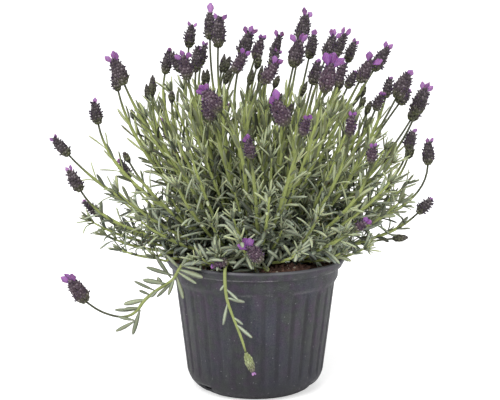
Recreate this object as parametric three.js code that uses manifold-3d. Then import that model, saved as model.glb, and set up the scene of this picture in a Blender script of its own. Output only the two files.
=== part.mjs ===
// A French lavender in its nursery pot: the pot, its soil, leafy branches and flower heads.
// Millimetres, +Z up. The origin is the middle of the pot's underside and -Y is the front.
import * as THREE from 'three';
import { mergeVertices } from 'three/addons/utils/BufferGeometryUtils.js';
import Module from 'manifold-3d';

const wasm = await Module();
wasm.setup();

// Driving sizes
const potHeight = 150;
const rimRadius = 100;
const baseRadius = 56;
const potFloor = 2.4;
const fluteCount = 32;
const fluteDepth = 0.9;
const drainTurns = [98, 219.5, 336.5];
const drainSpan = 17;
const drainHeight = 11;
const drainInner = 58.5;
const drainOuter = 82;
const soilLevel = 140;
const soilBump = 1.6;
const soilEdge = 2.5;
const soilTops = [84, 50];
const soilFoot = 55.6;
const seat = 0.3;
const holeDepth = 13;
const footRadius = 3.8;
const knotRadius = 6.4;
const knotHeight = 9;
const knotSides = 8;
const stemRadius = 1.45;
const leafLength = 31;
const leafWidth = 6.6;
const leafThickness = 1.4;
const leafSpread = [24, 40];
const leafSizes = [0.8, 1.12];
const bareStalks = [34, 52];
const bractThickness = 1.3;
const bractWidest = 6.5;
const ownHeads = 46;

// Room kept between stems, beside leaves, and from the pot and the soil
const stemGap = 0.8;
const leafGap = 0.35;
const potGap = 0.7;
const soilGap = 1.2 * seat;

const up = new THREE.Vector3(0, 0, 1);
const vec = (x, y, z) => new THREE.Vector3(x, y, z);
const radians = (degrees) => degrees * Math.PI / 180;

// Flower heads. A row holds its kind, the place of its foot (x, y, z), how many degrees it leans
// to the right, its length, its width, the number of its top bracts and their length.
const heads = [
  ['bloom', 70, -100, 339, 12, 29, 16, 3, 14],
  ['bloom', 31, -125, 310, -27, 24, 14, 2, 13],
  ['bloom', -34, -105, 318, -35, 24, 13, 3, 8],
  ['bloom', -70, -65, 349, -11, 24, 13, 3, 8],
  ['bloom', 7, -80, 346, 34, 25, 13, 2, 9],
  ['bloom', -22, -76, 357, 27, 21, 12, 2, 7],
  ['bloom', -5, -130, 275, -9, 20, 10, 2, 7],
  ['bloom', 46, -135, 298, 16, 19, 10, 2, 6],
  ['bloom', -50, 25, 386, 0, 28, 13, 1, 13],
  ['bloom', -40, -20, 380, 3, 30, 14, 2, 7],
  ['bloom', -75, 60, 375, 7, 24, 12, 2, 6],
  ['bloom', -101, 40, 347, 12, 26, 11, 1, 4],
  ['bloom', -140, -30, 341, -22, 28, 16, 3, 10],
  ['bloom', -172, 0, 295, -10, 23, 12, 1, 6],
  ['bloom', -206, 10, 259, -42, 24, 12, 2, 5],
  ['bloom', -190, -20, 224, -29, 25, 13, 2, 6],
  ['bloom', -182, -60, 110, -32, 24, 16, 3, 12],
  ['bloom', 40, -35, 360, 13, 28, 16, 3, 10],
  ['bloom', 51, 50, 382, 11, 29, 15, 2, 11],
  ['bloom', 62, 90, 361, 13, 26, 13, 1, 9],
  ['bloom', -15, -10, 368, 18, 28, 14, 3, 9],
  ['bloom', -1, -46, 369, 19, 22, 11, 2, 6],
  ['bloom', 19, 60, 361, 18, 28, 11, 2, 8],
  ['bloom', 109, -50, 345, 27, 25, 13, 3, 11],
  ['bloom', 130, 20, 352, 32, 28, 14, 2, 8],
  ['bloom', 150, -35, 327, 26, 27, 17, 1, 7],
  ['bloom', 173, -15, 307, 20, 29, 16, 3, 9],
  ['bloom', 190, 0, 250, 1, 24, 13, 2, 7],
  ['bloom', 166, -12, 268, 15, 20, 12, 1, 6],
  ['bloom', 181, 10, 194, 44, 20, 11, 1, 4],
  ['bloom', 77, 15, 366, 20, 25, 13, 3, 9],
  ['bloom', 90, 65, 363, 23, 28, 12, 2, 10],
  ['bloom', 6, -100, 167, -37, 20, 11, 3, 8],
  ['bloom', 61, -20, 340, 15, 23, 13, 1, 6],
  ['bloom', -48, -85, 303, -12, 26, 11, 1, 6],
  ['bloom', 84, -62, 342, 19, 24, 10, 1, 3],
  ['bloom', 106, 85, 357, 20, 23, 11, 2, 6],
  ['bloom', 145, 30, 321, 14, 21, 10, 1, 4],
  ['bloom', 128, -30, 313, 21, 17, 10, 2, 6],
  ['bloom', -80, -5, 352, -27, 22, 11, 0, 0],
  ['bloom', -65, 0, 352, 5, 26, 11, 1, 3],
  ['bloom', -63, 95, 352, 11, 24, 9, 2, 5],
  ['bloom', -152, 25, 329, -12, 21, 10, 0, 0],
  ['bloom', 96, -95, 293, 6, 22, 9, 2, 5],
  ['bloom', 118, -100, 266, 7, 17, 10, 2, 5],
  ['bloom', -36, 150, 272, -6, 24, 13, 3, 9],
  ['bloom', 104, -96, 196, 52, 12, 9, 2, 7],
  ['bloom', 161, 40, 313, 36, 17, 13, 1, 4],
  ['bloom', 175, 45, 294, 31, 21, 14, 1, 3],
  ['bloom', -172, 20, 189, -52, 25, 10, 1, 3],
  ['bloom', 17, 6, 358, 25, 16, 10, 2, 5],
  ['bloom', 100, 2, 334, 26, 19, 10, 1, 3],
  ['bloom', -29, -96, 163, -112, 16, 8, 1, 3],
  ['bloom', 49, 158, 268, 12, 23, 12, 2, 8],
  ['bloom', -101, 125, 262, -18, 22, 12, 2, 7],
  ['bloom', 109, 132, 255, 20, 22, 12, 2, 8],
  ['bloom', 4, 178, 222, 4, 23, 12, 1, 7],
  ['bloom', 149, 92, 236, 30, 21, 11, 2, 6],
  ['bloom', -81, 165, 212, -24, 22, 12, 2, 6],
  ['bloom', 84, 170, 205, 26, 21, 11, 2, 6],
  ['bloom', -146, 85, 222, -30, 21, 11, 1, 6],
  ['slim', -111, -20, 327, 2, 23, 8, 0, 0],
  ['slim', -121, 60, 313, -7, 21, 7, 0, 0],
  ['slim', -58, 70, 331, -3, 18, 6, 0, 0],
  ['slim', -55, 112, 330, -4, 17, 6, 0, 0],
  ['slim', -39, 75, 345, 11, 22, 7, 0, 0],
  ['slim', -35, 40, 348, 21, 19, 8, 0, 0],
  ['slim', -34, 2, 338, 24, 20, 8, 0, 0],
  ['slim', -7, -30, 340, 13, 17, 7, 0, 0],
  ['slim', 4, 62, 336, 13, 19, 6, 0, 0],
  ['slim', 51, 35, 322, 23, 18, 6, 0, 0],
  ['slim', 93, 22, 331, 18, 14, 6, 0, 0],
  ['slim', 120, 50, 320, 13, 15, 7, 0, 0],
  ['slim', 35, -42, 306, 12, 16, 7, 0, 0],
  ['slim', 29, 120, 300, 8, 18, 7, 0, 0],
  ['slim', -66, 140, 290, -12, 18, 7, 0, 0],
  ['bud', -133, -60, 261, -27, 13, 7, 0, 0],
  ['bud', -89, -40, 322, 1, 13, 7, 0, 0],
  ['bud', 1, 30, 353, 18, 15, 8, 0, 0],
  ['bud', 20, -18, 336, 21, 14, 7, 0, 0],
  ['bud', 120, -8, 306, 21, 16, 7, 0, 0],
  ['bud', 120, 72, 305, 26, 14, 7, 0, 0],
  ['bud', 172, 40, 251, 19, 16, 10, 0, 0],
  ['bud', 149, 62, 259, 53, 13, 7, 0, 0],
  ['bud', 149, -30, 173, 84, 17, 8, 0, 0],
  ['bud', -136, 42, 295, -16, 12, 6, 0, 0],
  ['bud', -131, 92, 286, -12, 12, 6, 0, 0],
  ['bud', -10, -112, 68, 159, 23, 9, 0, 0],
];

// Leafy shoots that carry no flower: where their tips stand.
const shoots = [
  [-182, 0, 187],
  [-146, -24, 159],
  [-164, -6, 172],
  [-108, -48, 156],
  [-56, -98, 166],
  [-121, -70, 200],
  [-146, -52, 228],
  [-16, -118, 188],
  [44, -112, 176],
  [76, -86, 158],
  [64, -118, 214],
  [116, -60, 168],
  [154, -40, 214],
  [168, 14, 226],
  [-114, 8, 262],
  [142, -62, 240],
  [-81, -95, 240],
  [14, -128, 236],
  [-94, 96, 186],
  [-58, 128, 172],
  [6, 132, 184],
  [66, 124, 176],
  [120, 80, 188],
  [156, 52, 204],
  [-94, 104, 232],
  [46, 138, 226],
  [-26, 140, 216],
  [108, 108, 230],
  [-158, 52, 206],
  [8, 112, 262],
];

// Cones of stems: how many stand in each circle, and how far they lean from upright.
const innerCones = 3;
const innerLean = 15;
const outerCones = 7;
const outerLean = 47;
const coneTip = vec(4, 0, soilLevel - 30);

// Stems that come over the rim, as points chosen by eye.
const trailingRoute = [
  vec(-42, -32, 143), vec(-55, -46, 153), vec(-68, -61, 158), vec(-79, -69, 151), vec(-88, -68, 136),
  vec(-103, -63, 125), vec(-118, -62, 113), vec(-127, -62, 101), vec(-136, -62, 95), vec(-147, -62, 94),
  vec(-160, -61, 97), vec(-171, -60, 102),
];
const hangingRoute = [
  vec(-22, -58, 143), vec(-27, -76, 154), vec(-31, -92, 158), vec(-32, -101, 144), vec(-30, -104, 125),
  vec(-25, -106, 109), vec(-19, -108, 94), vec(-14, -110, 81),
];

// Seeded draws, so that the plant is the same each time it is built
const soilSeed = 41;
const stemSeed = 300;
const shootSeed = 600;
const headSeed = 900;

function makeDraw(seed) {
  let state = seed >>> 0;
  return (low, high) => {
    state = (state + 0x6d2b79f5) >>> 0;
    let mixed = Math.imul(state ^ (state >>> 15), state | 1);
    mixed ^= mixed + Math.imul(mixed ^ (mixed >>> 7), mixed | 61);
    const share = ((mixed ^ (mixed >>> 14)) >>> 0) / 4294967296;
    return low + (high - low) * share;
  };
}

// A closed surface put together from rings of points.
class Skin {
  constructor() {
    this.points = [];
    this.faces = [];
  }

  add(point) {
    this.points.push(point);
    return this.points.length - 1;
  }

  ring(points) {
    return points.map((point) => this.add(point));
  }

  face(a, b, c) {
    this.faces.push([a, b, c]);
  }

  quad(a, b, c, d) {
    this.face(a, b, c);
    this.face(a, c, d);
  }

  bridge(low, high, skip = () => false) {
    for (let i = 0; i < low.length; i += 1) {
      const next = (i + 1) % low.length;
      if (!skip(i)) this.quad(low[i], low[next], high[next], high[i]);
    }
  }

  // Joins a ring to one with twice as many points, which lies above it or below it.
  widen(few, many, manyOnTop) {
    for (let i = 0; i < few.length; i += 1) {
      const next = (i + 1) % few.length;
      const [a, b, c] = [many[2 * i], many[2 * i + 1], many[(2 * i + 2) % many.length]];
      const triangles = [[few[i], few[next], b], [few[next], c, b], [few[i], b, a]];
      for (const [p, q, r] of triangles) {
        if (manyOnTop) this.face(p, q, r);
        else this.face(p, r, q);
      }
    }
  }

  cap(ring, top) {
    for (let i = 1; i < ring.length - 1; i += 1) {
      if (top) this.face(ring[0], ring[i], ring[i + 1]);
      else this.face(ring[0], ring[i + 1], ring[i]);
    }
  }

  // Opens a three-sided root at the foot of the quad low0, low1, high1, high0.
  openRoot([low0, low1, high1, high0], place) {
    const foot = this.add(place);
    this.face(low1, high1, foot);
    this.face(high1, high0, foot);
    this.face(high0, low0, foot);
    return [low0, low1, foot];
  }

  // A blade that grows from such a root.
  sprout(quad, blade) {
    const root = this.openRoot(quad, blade.foot);
    const middle = this.ring(blade.middle);
    const tip = this.add(blade.tip);
    this.bridge(root, middle);
    this.face(middle[0], middle[1], tip);
    this.face(middle[1], middle[2], tip);
    this.face(middle[2], middle[0], tip);
  }

  geometry() {
    const geometry = new THREE.BufferGeometry();
    const places = this.points.flatMap((point) => [point.x, point.y, point.z]);
    geometry.setAttribute('position', new THREE.Float32BufferAttribute(places, 3));
    geometry.setIndex(this.faces.flat());
    return geometry;
  }
}

function toSolid(geometry) {
  const bare = geometry.clone();
  bare.deleteAttribute('normal');
  bare.deleteAttribute('uv');
  const merged = mergeVertices(bare, 1e-4);
  const vertProperties = new Float32Array(merged.attributes.position.array);
  const triVerts = new Uint32Array(merged.index.array);
  return new wasm.Manifold(new wasm.Mesh({ numProp: 3, vertProperties, triVerts }));
}

function toGeometry(solid) {
  const mesh = solid.getMesh();
  const geometry = new THREE.BufferGeometry();
  geometry.setAttribute('position', new THREE.Float32BufferAttribute(mesh.vertProperties, 3));
  geometry.setIndex(Array.from(mesh.triVerts));
  return geometry;
}

// Pot
const potProfile = {
  under: [[baseRadius, 0], [61.2, 1.8], [69.4, 7.6], [74.4, 15]],
  fluted: [[76.3, 21], [88.4, 120]],
  over: [
    [89.4, 122.5], [92, 127], [92.4, 136.5], [96.4, 140.4],
    [rimRadius, 146.5], [98.8, potHeight],
  ],
  inside: [[96.6, potHeight], [90.6, 139], [86.4, 121], [74, 18], [69.6, 11]],
};

function circle(radius, z, count, dent = 0) {
  const places = [];
  for (let i = 0; i < count; i += 1) {
    const turn = 2 * Math.PI * i / count;
    const reach = radius - (i % 2 ? dent : 0);
    places.push(vec(reach * Math.cos(turn), reach * Math.sin(turn), z));
  }
  return places;
}

function ringAt(foot, radius, z, sides) {
  return circle(radius, z, sides).map((place) => place.add(vec(foot.x, foot.y, 0)));
}

// What is cut out of the pot's rounded foot, so that water can drain
function drainBlock(turn) {
  const from = radians(turn - drainSpan / 2);
  const to = radians(turn + drainSpan / 2);
  const section = new THREE.Shape();
  section.absarc(0, 0, drainOuter, from, to, false);
  section.absarc(0, 0, drainInner, to, from, true);
  section.closePath();
  const block = new THREE.ExtrudeGeometry(section, {
    depth: drainHeight + 1,
    bevelEnabled: false,
    curveSegments: 4,
  });
  return block.translate(0, 0, -1);
}

function makePot() {
  const skin = new Skin();
  const plainRings = (profile) => profile.map(([radius, z]) => skin.ring(circle(radius, z, fluteCount)));
  const under = plainRings(potProfile.under);
  const fluted = potProfile.fluted.map(([radius, z]) => (
    skin.ring(circle(radius, z, 2 * fluteCount, fluteDepth))));
  const over = plainRings([...potProfile.over, ...potProfile.inside]);
  skin.cap(under[0], false);
  for (let i = 0; i < under.length - 1; i += 1) skin.bridge(under[i], under[i + 1]);
  skin.widen(under.at(-1), fluted[0], true);
  skin.bridge(fluted[0], fluted[1]);
  skin.widen(over[0], fluted[1], false);
  for (let i = 0; i < over.length - 1; i += 1) skin.bridge(over[i], over[i + 1]);
  const floor = skin.ring(circle(baseRadius, potFloor, fluteCount));
  skin.bridge(over.at(-1), floor);
  skin.cap(floor, true);
  let pot = toSolid(skin.geometry());
  for (const turn of drainTurns) pot = pot.subtract(toSolid(drainBlock(turn)));
  return toGeometry(pot);
}

// The height of the rim's lower edge
const underRim = 134;

function innerRadius(z) {
  const { inside } = potProfile;
  let i = 1;
  while (i < inside.length - 1 && z < inside[i][1]) i += 1;
  const [[topRadius, topZ], [lowRadius, lowZ]] = [inside[i - 1], inside[i]];
  return lowRadius + (topRadius - lowRadius) * (z - lowZ) / (topZ - lowZ);
}

function outerRadius(z) {
  const profile = [...potProfile.under, ...potProfile.fluted, ...potProfile.over];
  for (let i = 1; i < profile.length; i += 1) {
    const [[r0, z0], [r1, z1]] = [profile[i - 1], profile[i]];
    if (z <= z1 && z1 > z0) return Math.max(r0, r1);
  }
  return 0;
}

function clearOfPot(point, radius) {
  const reach = Math.hypot(point.x, point.y);
  if (reach - radius > rimRadius + potGap) return true;
  if (point.z - radius > potHeight + potGap) return true;
  const overSoil = point.z - radius > soilLevel + soilBump + potGap;
  if (reach + radius < innerRadius(point.z) - potGap) return overSoil;
  return point.z < underRim && reach - radius > outerRadius(point.z) + potGap;
}

// An upright peg with flat sides; each level gives its height and its radius.
function makePeg(foot, levels, sides) {
  const skin = new Skin();
  const rings = levels.map(([z, radius]) => skin.ring(ringAt(foot, radius, z, sides)));
  skin.cap(rings[0], false);
  for (let i = 0; i < rings.length - 1; i += 1) skin.bridge(rings[i], rings[i + 1]);
  skin.cap(rings.at(-1), true);
  return skin.geometry();
}

// Soil, with a plain hole for each foot
function makeSoil(feet) {
  const draw = makeDraw(soilSeed);
  const skin = new Skin();
  const footRing = (z) => skin.ring(circle(soilFoot, z, fluteCount));
  const sideRing = (z) => skin.ring(circle(innerRadius(z) - soilGap, z, fluteCount));
  const bottom = footRing(potFloor + seat);
  const aboveDrains = ([, z]) => z > drainHeight && z < soilLevel - soilEdge;
  const heights = potProfile.inside.filter(aboveDrains).map(([, z]) => z).reverse();
  const sides = [footRing(drainHeight + 1), ...[...heights, soilLevel - soilEdge].map(sideRing)];
  const lumpy = (radius) => skin.ring(circle(radius, soilLevel, fluteCount).map((place) => {
    place.z += draw(-soilBump, soilBump);
    return place;
  }));
  const tops = soilTops.map(lumpy);
  skin.cap(bottom, false);
  skin.bridge(bottom, sides[0]);
  for (let i = 0; i < sides.length - 1; i += 1) skin.bridge(sides[i], sides[i + 1]);
  skin.bridge(sides.at(-1), tops[0]);
  skin.bridge(tops[0], tops[1]);
  skin.cap(tops[1], true);
  let soil = toSolid(skin.geometry());
  for (const foot of feet) {
    const reach = footRadius + 1.5 * seat;
    const hole = makePeg(foot, [[footBottom - seat, reach], [potHeight, reach]], knotSides);
    soil = soil.subtract(toSolid(hole));
  }
  return toGeometry(soil.simplify(0.01));
}

// Flower head: a spike of florets in checkered relief, with bracts at its top
const spikeColumns = 6;
const bractCurl = 1.5;
const spikeForms = {
  bloom: { bands: 6, relief: 0.15 },
  slim: { bands: 3, relief: 0.1 },
  bud: { bands: 2, relief: 0 },
};

function headAxis(head) {
  const [, , y, , lean] = head;
  const away = radians(y * 0.12);
  const side = radians(lean);
  return vec(Math.sin(side), Math.sin(away), Math.cos(side)).normalize();
}

function bladeShape(low0, low1, high, direction, length, width, thickness, curl) {
  const across = low1.clone().sub(low0);
  const root = low0.clone().add(low1).multiplyScalar(0.5);
  const foot = root.clone().lerp(high, Math.min(0.45, 2.6 / high.distanceTo(root)));
  across.addScaledVector(direction, -across.dot(direction)).normalize();
  const ridge = direction.clone().cross(across).normalize();
  if (ridge.dot(foot.clone().sub(root)) < 0) ridge.negate();
  const centre = root.clone().addScaledVector(direction, length * 0.48);
  const middle = [
    centre.clone().addScaledVector(across, -width / 2),
    centre.clone().addScaledVector(across, width / 2),
    centre.clone().addScaledVector(ridge, thickness),
  ];
  const tip = root.clone().addScaledVector(direction, length).addScaledVector(ridge, -curl);
  return { foot, middle, tip, root, centre };
}

function growSpike(skin, head, number, side) {
  const [kind, x, y, z, , length, width, bractCount, bractLength] = head;
  const { relief } = spikeForms[kind];
  const bands = spikeForms[kind].bands - (kind === 'bloom' && length < 22 ? 1 : 0);
  const draw = makeDraw(headSeed + number);
  const axis = headAxis(head);
  const base = vec(x, y, z);
  const rings = [];
  for (let i = 0; i <= bands; i += 1) {
    const share = i / bands;
    const belly = Math.sin(Math.PI * (0.13 + 0.73 * share)) ** 0.75;
    const ring = [];
    for (let j = 0; j < spikeColumns; j += 1) {
      const inner = i > 0 && i < bands;
      const out = (i + j) % 2 === 1;
      const reach = width / 2 * belly * (1 + (inner ? relief * (out ? 1 : -1) : 0));
      const arm = side.clone().applyAxisAngle(axis, 2 * Math.PI * j / spikeColumns);
      const rise = length * (share + (inner && out ? 0.03 : 0));
      ring.push(base.clone().addScaledVector(axis, rise).addScaledVector(arm, reach));
    }
    rings.push(skin.ring(ring));
  }
  const bracts = new Map();
  for (let k = 0; k < bractCount; k += 1) {
    bracts.set(Math.floor((k + 0.2) * spikeColumns / bractCount), draw(0.82, 1));
  }
  for (let i = 0; i < bands; i += 1) {
    const [low, high] = [rings[i], rings[i + 1]];
    const last = i === bands - 1;
    skin.bridge(low, high, (j) => last && bracts.has(j));
    if (!last) continue;
    for (const [j, size] of bracts) {
      const next = (j + 1) % spikeColumns;
      const [low0, low1] = [skin.points[low[j]], skin.points[low[next]]];
      const above = skin.points[high[j]].clone().lerp(skin.points[high[next]], 0.5);
      const outward = low0.clone().lerp(low1, 0.5).sub(base);
      outward.addScaledVector(axis, -outward.dot(axis)).normalize();
      const direction = axis.clone().addScaledVector(outward, 0.32).normalize();
      const reach = (bractLength + length / bands) * size;
      const wide = Math.min(bractWidest, 2 + bractLength * 0.4);
      const blade = bladeShape(low0, low1, above, direction, reach, wide, bractThickness, bractCurl);
      skin.sprout([low[j], low[next], high[next], high[j]], blade);
    }
  }
  skin.cap(rings[bands], true);
  return rings[0];
}

function makeHead(head, number) {
  const skin = new Skin();
  const side = vec(0, 1, 0).cross(headAxis(head)).normalize();
  skin.cap(growSpike(skin, head, number, side), false);
  return skin.geometry();
}

// Distances between straight stretches, which keep the pieces apart
function nearest(p, q, r, s) {
  const d1 = q.clone().sub(p);
  const d2 = s.clone().sub(r);
  const between = p.clone().sub(r);
  const [a, e, f] = [d1.dot(d1), d2.dot(d2), d2.dot(between)];
  const [b, c] = [d1.dot(d2), d1.dot(between)];
  const denominator = a * e - b * b;
  let along = denominator > 1e-9 ? THREE.MathUtils.clamp((b * f - c * e) / denominator, 0, 1) : 0;
  const other = THREE.MathUtils.clamp((b * along + f) / e, 0, 1);
  along = THREE.MathUtils.clamp((b * other - c) / a, 0, 1);
  const gap = p.clone().addScaledVector(d1, along).sub(r.clone().addScaledVector(d2, other));
  return { gap, along, other };
}

// Branches: each one takes the stems whose ends lie nearest its cone.
const coneDirections = [];
for (let i = 0; i < innerCones; i += 1) coneDirections.push([innerLean, 90 + 360 * i / innerCones]);
for (let i = 0; i < outerCones; i += 1) coneDirections.push([outerLean, -90 + 360 * i / outerCones]);
const cones = coneDirections.map(([lean, turn]) => vec(
  Math.sin(radians(lean)) * Math.cos(radians(turn)),
  Math.sin(radians(lean)) * Math.sin(radians(turn)),
  Math.cos(radians(lean)),
));
const footBottom = soilLevel - holeDepth;
const branches = cones.map((cone, i) => {
  const reach = (soilLevel - coneTip.z) / cone.z;
  const foot = coneTip.clone().addScaledVector(cone, reach);
  return { name: `branch_${String(i + 1).padStart(2, '0')}`, foot, cone, stems: [] };
});

// The two branches that grow over the rim, each a single stem along its route
const trailing = {
  name: 'branch_trailing',
  foot: trailingRoute[0].clone(),
  cone: vec(-0.75, -0.5, 0.6),
  stems: [],
  route: trailingRoute,
  leafy: [2, 3, 4, 5, 6, 7],
};
const hanging = {
  name: 'branch_hanging',
  foot: hangingRoute[0].clone(),
  cone: vec(-0.25, -0.8, 0.6),
  stems: [],
  route: hangingRoute,
  leafy: [2, 4, 5],
};
branches.push(trailing, hanging);

function branchOf(place) {
  const direction = place.clone().sub(coneTip).normalize();
  let best = branches[0];
  for (const branch of branches.slice(0, cones.length)) {
    if (branch.cone.dot(direction) > best.cone.dot(direction)) best = branch;
  }
  return best;
}

function stemCurve(branch, end, endDirection) {
  const start = branch.foot.clone().setZ(soilLevel + 8);
  const chord = end.clone().sub(start);
  const span = chord.length();
  const first = vec(chord.x * 1.25, chord.y * 1.25, chord.z).normalize();
  return new THREE.CubicBezierCurve3(
    start,
    start.clone().addScaledVector(first, span * 0.34),
    end.clone().addScaledVector(endDirection, -span * 0.32),
    end,
  );
}

// The places of a stem's rings: its whorls of leaves, then its bare stalk.
function stemPlaces(curve, whorls, bare) {
  const leafy = Math.max(0.3, 1 - bare / curve.getLength());
  const shares = [0];
  for (let k = 0; k < whorls; k += 1) shares.push(0.17 + (leafy - 0.17) * k / Math.max(1, whorls - 1));
  shares.push(1);
  return shares.map((share) => curve.getPointAt(share));
}

heads.forEach((head, number) => {
  const [kind, x, y, z, , length] = head;
  const axis = headAxis(head);
  const base = vec(x, y, z);
  const own = number < ownHeads;
  const end = base.clone().addScaledVector(axis, own ? -seat : -1.2);
  const draw = makeDraw(stemSeed + number);
  const stem = { number, own, end, axis, head, draw, width: stemRadius };
  let branch = branchOf(base);
  if (z < soilLevel) {
    branch = kind === 'bud' ? hanging : trailing;
    stem.points = [...branch.route, end];
    stem.leafy = branch.leafy;
  } else {
    const whorls = Math.hypot(x, y) > 95 ? 3 : 2;
    stem.points = stemPlaces(stemCurve(branch, end, axis), whorls, draw(...bareStalks));
    stem.leafy = Array.from({ length: whorls }, (_, k) => k + 1);
  }
  stem.reach = [base, base.clone().addScaledVector(axis, length)];
  branch.stems.push(stem);
});

shoots.forEach(([x, y, z], number) => {
  const end = vec(x, y, z);
  const draw = makeDraw(shootSeed + number);
  const branch = branchOf(end);
  const direction = end.clone().sub(branch.foot).normalize().addScaledVector(up, 0.35).normalize();
  const stem = { end, draw, width: stemRadius };
  stem.points = stemPlaces(stemCurve(branch, end, direction), 3, 8);
  stem.leafy = [1, 2, 3];
  branch.stems.push(stem);
});

// Stems that would meet another stem, a head, a knot or the pot are bent clear of it.
function bendClear() {
  const stretches = [];
  for (const branch of branches) {
    for (const stem of branch.stems) {
      for (let i = 0; i < stem.points.length - 1; i += 1) {
        stretches.push({ branch, stem, i, p: stem.points[i], q: stem.points[i + 1], r: stem.width });
      }
    }
  }
  const solids = [];
  for (const branch of branches) {
    for (const stem of branch.stems) {
      if (stem.head) solids.push({ stem, branch, ends: stem.reach, r: stem.head[6] / 2 * 1.15 });
    }
    const knot = [branch.foot.clone().setZ(soilLevel), branch.foot.clone().setZ(soilLevel + knotHeight)];
    solids.push({ branch, ends: knot, r: knotRadius });
  }
  const push = (stretch, by, along) => {
    const last = stretch.stem.points.length - 1;
    if (stretch.i > 0) stretch.p.addScaledVector(by, 1 - along);
    if (stretch.i + 1 < last) stretch.q.addScaledVector(by, along);
  };
  let worst = 0;
  for (let round = 0; round < 60; round += 1) {
    worst = 0;
    for (let i = 0; i < stretches.length; i += 1) {
      const one = stretches[i];
      for (const along of [0.25, 0.5, 0.75, 1]) {
        const here = one.p.clone().lerp(one.q, along);
        if (!clearOfPot(here, one.r + 0.6) && here.z > soilLevel) {
          push(one, vec(0, 0, 0.6), along);
          worst = 1;
        }
      }
      for (let j = i + 1; j < stretches.length; j += 1) {
        const two = stretches[j];
        if (one.stem === two.stem || (one.branch === two.branch && one.i + two.i === 1)) continue;
        const rooted = one.branch === two.branch && one.i + two.i === 0;
        const offRoot = rooted ? 0.15 : 0;
        const from = one.p.clone().lerp(one.q, offRoot);
        const { gap, along, other } = nearest(from, one.q, two.p.clone().lerp(two.q, offRoot), two.q);
        const lack = one.r + two.r + stemGap - gap.length();
        if (lack <= 0) continue;
        worst = Math.max(worst, lack);
        gap.normalize().multiplyScalar(lack * 0.6);
        push(one, gap, along);
        push(two, gap.negate(), other);
      }
      for (const solid of solids) {
        if (solid.stem ? solid.stem === one.stem : solid.branch === one.branch) continue;
        const { gap, along } = nearest(one.p, one.q, ...solid.ends);
        const lack = one.r + solid.r + stemGap - gap.length();
        if (lack <= 0) continue;
        worst = Math.max(worst, lack);
        push(one, gap.normalize().multiplyScalar(lack), along);
      }
    }
    if (worst < 0.05) break;
  }
  return { stretches, solids };
}

// Every stem of a branch gets a root of its own on the knot above the branch's foot.
const knotLevels = [[0, 0.62], [3.2, 1], [5.6, 0.7], [6.9, 0.3]];

function knotRings(branch) {
  const top = branch.cone.clone().lerp(up, 0.35).normalize();
  const tilt = new THREE.Quaternion().setFromUnitVectors(up, top);
  const pivot = branch.foot.clone().setZ(soilLevel + 4);
  return knotLevels.map(([rise, share]) => circle(knotRadius * share, rise, knotSides).map((place) => (
    place.applyQuaternion(tilt).add(pivot))));
}

function rootPlaces(branch) {
  const rings = knotRings(branch);
  const places = [];
  for (let level = 1; level < rings.length - 1; level += 1) {
    for (let side = 0; side < knotSides; side += 1) {
      const next = (side + 1) % knotSides;
      const low = rings[level][side].clone().lerp(rings[level][next], 0.5);
      const high = rings[level + 1][side].clone().lerp(rings[level + 1][next], 0.5);
      places.push({ level, side, middle: low.clone().lerp(high, 0.35), top: low.clone().lerp(high, 0.8) });
    }
  }
  return places;
}

function giveRoots(branch) {
  const places = rootPlaces(branch);
  const { stems } = branch;
  const outOf = (point) => point.clone().sub(branch.foot);
  const worth = (stem, place) => outOf(stem.points[1]).dot(outOf(place.middle));
  stems.forEach((stem, i) => { stem.root = places[i]; });
  const free = places.slice(stems.length);
  for (let round = 0; round < 40; round += 1) {
    for (const one of stems) {
      for (const other of stems) {
        const now = worth(one, one.root) + worth(other, other.root);
        if (worth(one, other.root) + worth(other, one.root) > now + 1e-6) {
          [one.root, other.root] = [other.root, one.root];
        }
      }
      for (let k = 0; k < free.length; k += 1) {
        if (worth(one, free[k]) > worth(one, one.root) + 1e-6) [one.root, free[k]] = [free[k], one.root];
      }
    }
  }
}

branches.forEach(giveRoots);
for (const branch of branches) {
  for (const stem of branch.stems) stem.points[0].copy(stem.root.middle);
}
const { stretches, solids } = bendClear();

// Everything that a leaf has to keep clear of.
const thicket = stretches.map((one) => ({ a: one.p, b: one.q, r: one.r, stem: one.stem, i: one.i }));
for (const { stem, ends, r } of solids.filter((solid) => solid.stem)) {
  const over = ends[0].clone().lerp(ends[1], 1 + stem.head[8] / stem.head[5]);
  thicket.push({ a: ends[0], b: over, r, stem, i: stem.points.length });
}
for (const branch of branches) {
  const foot = branch.foot.clone();
  thicket.push({ a: foot, b: foot.clone().setZ(soilLevel + knotHeight), r: knotRadius, stem: null });
}

function leafIsClear(blade, width, stem, ring) {
  const parts = [
    [blade.root, blade.centre, width * 0.46],
    [blade.centre, blade.tip, width * 0.38],
  ];
  for (const [a, b, r] of parts) {
    for (const share of [0.5, 1]) {
      if (!clearOfPot(a.clone().lerp(b, share), r)) return false;
    }
  }
  for (const item of thicket) {
    const close = item.stem === stem && (Math.abs(item.i - ring) <= 1 || item.leafRing === ring);
    for (const [a, b, r] of parts) {
      if (close && a === blade.root) continue;
      const { gap } = nearest(a, b, item.a, item.b);
      if (gap.length() < r + item.r + leafGap) return false;
    }
  }
  for (const [a, b, r] of parts) thicket.push({ a, b, r: r * 0.9, stem, leafRing: ring });
  return true;
}

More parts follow.
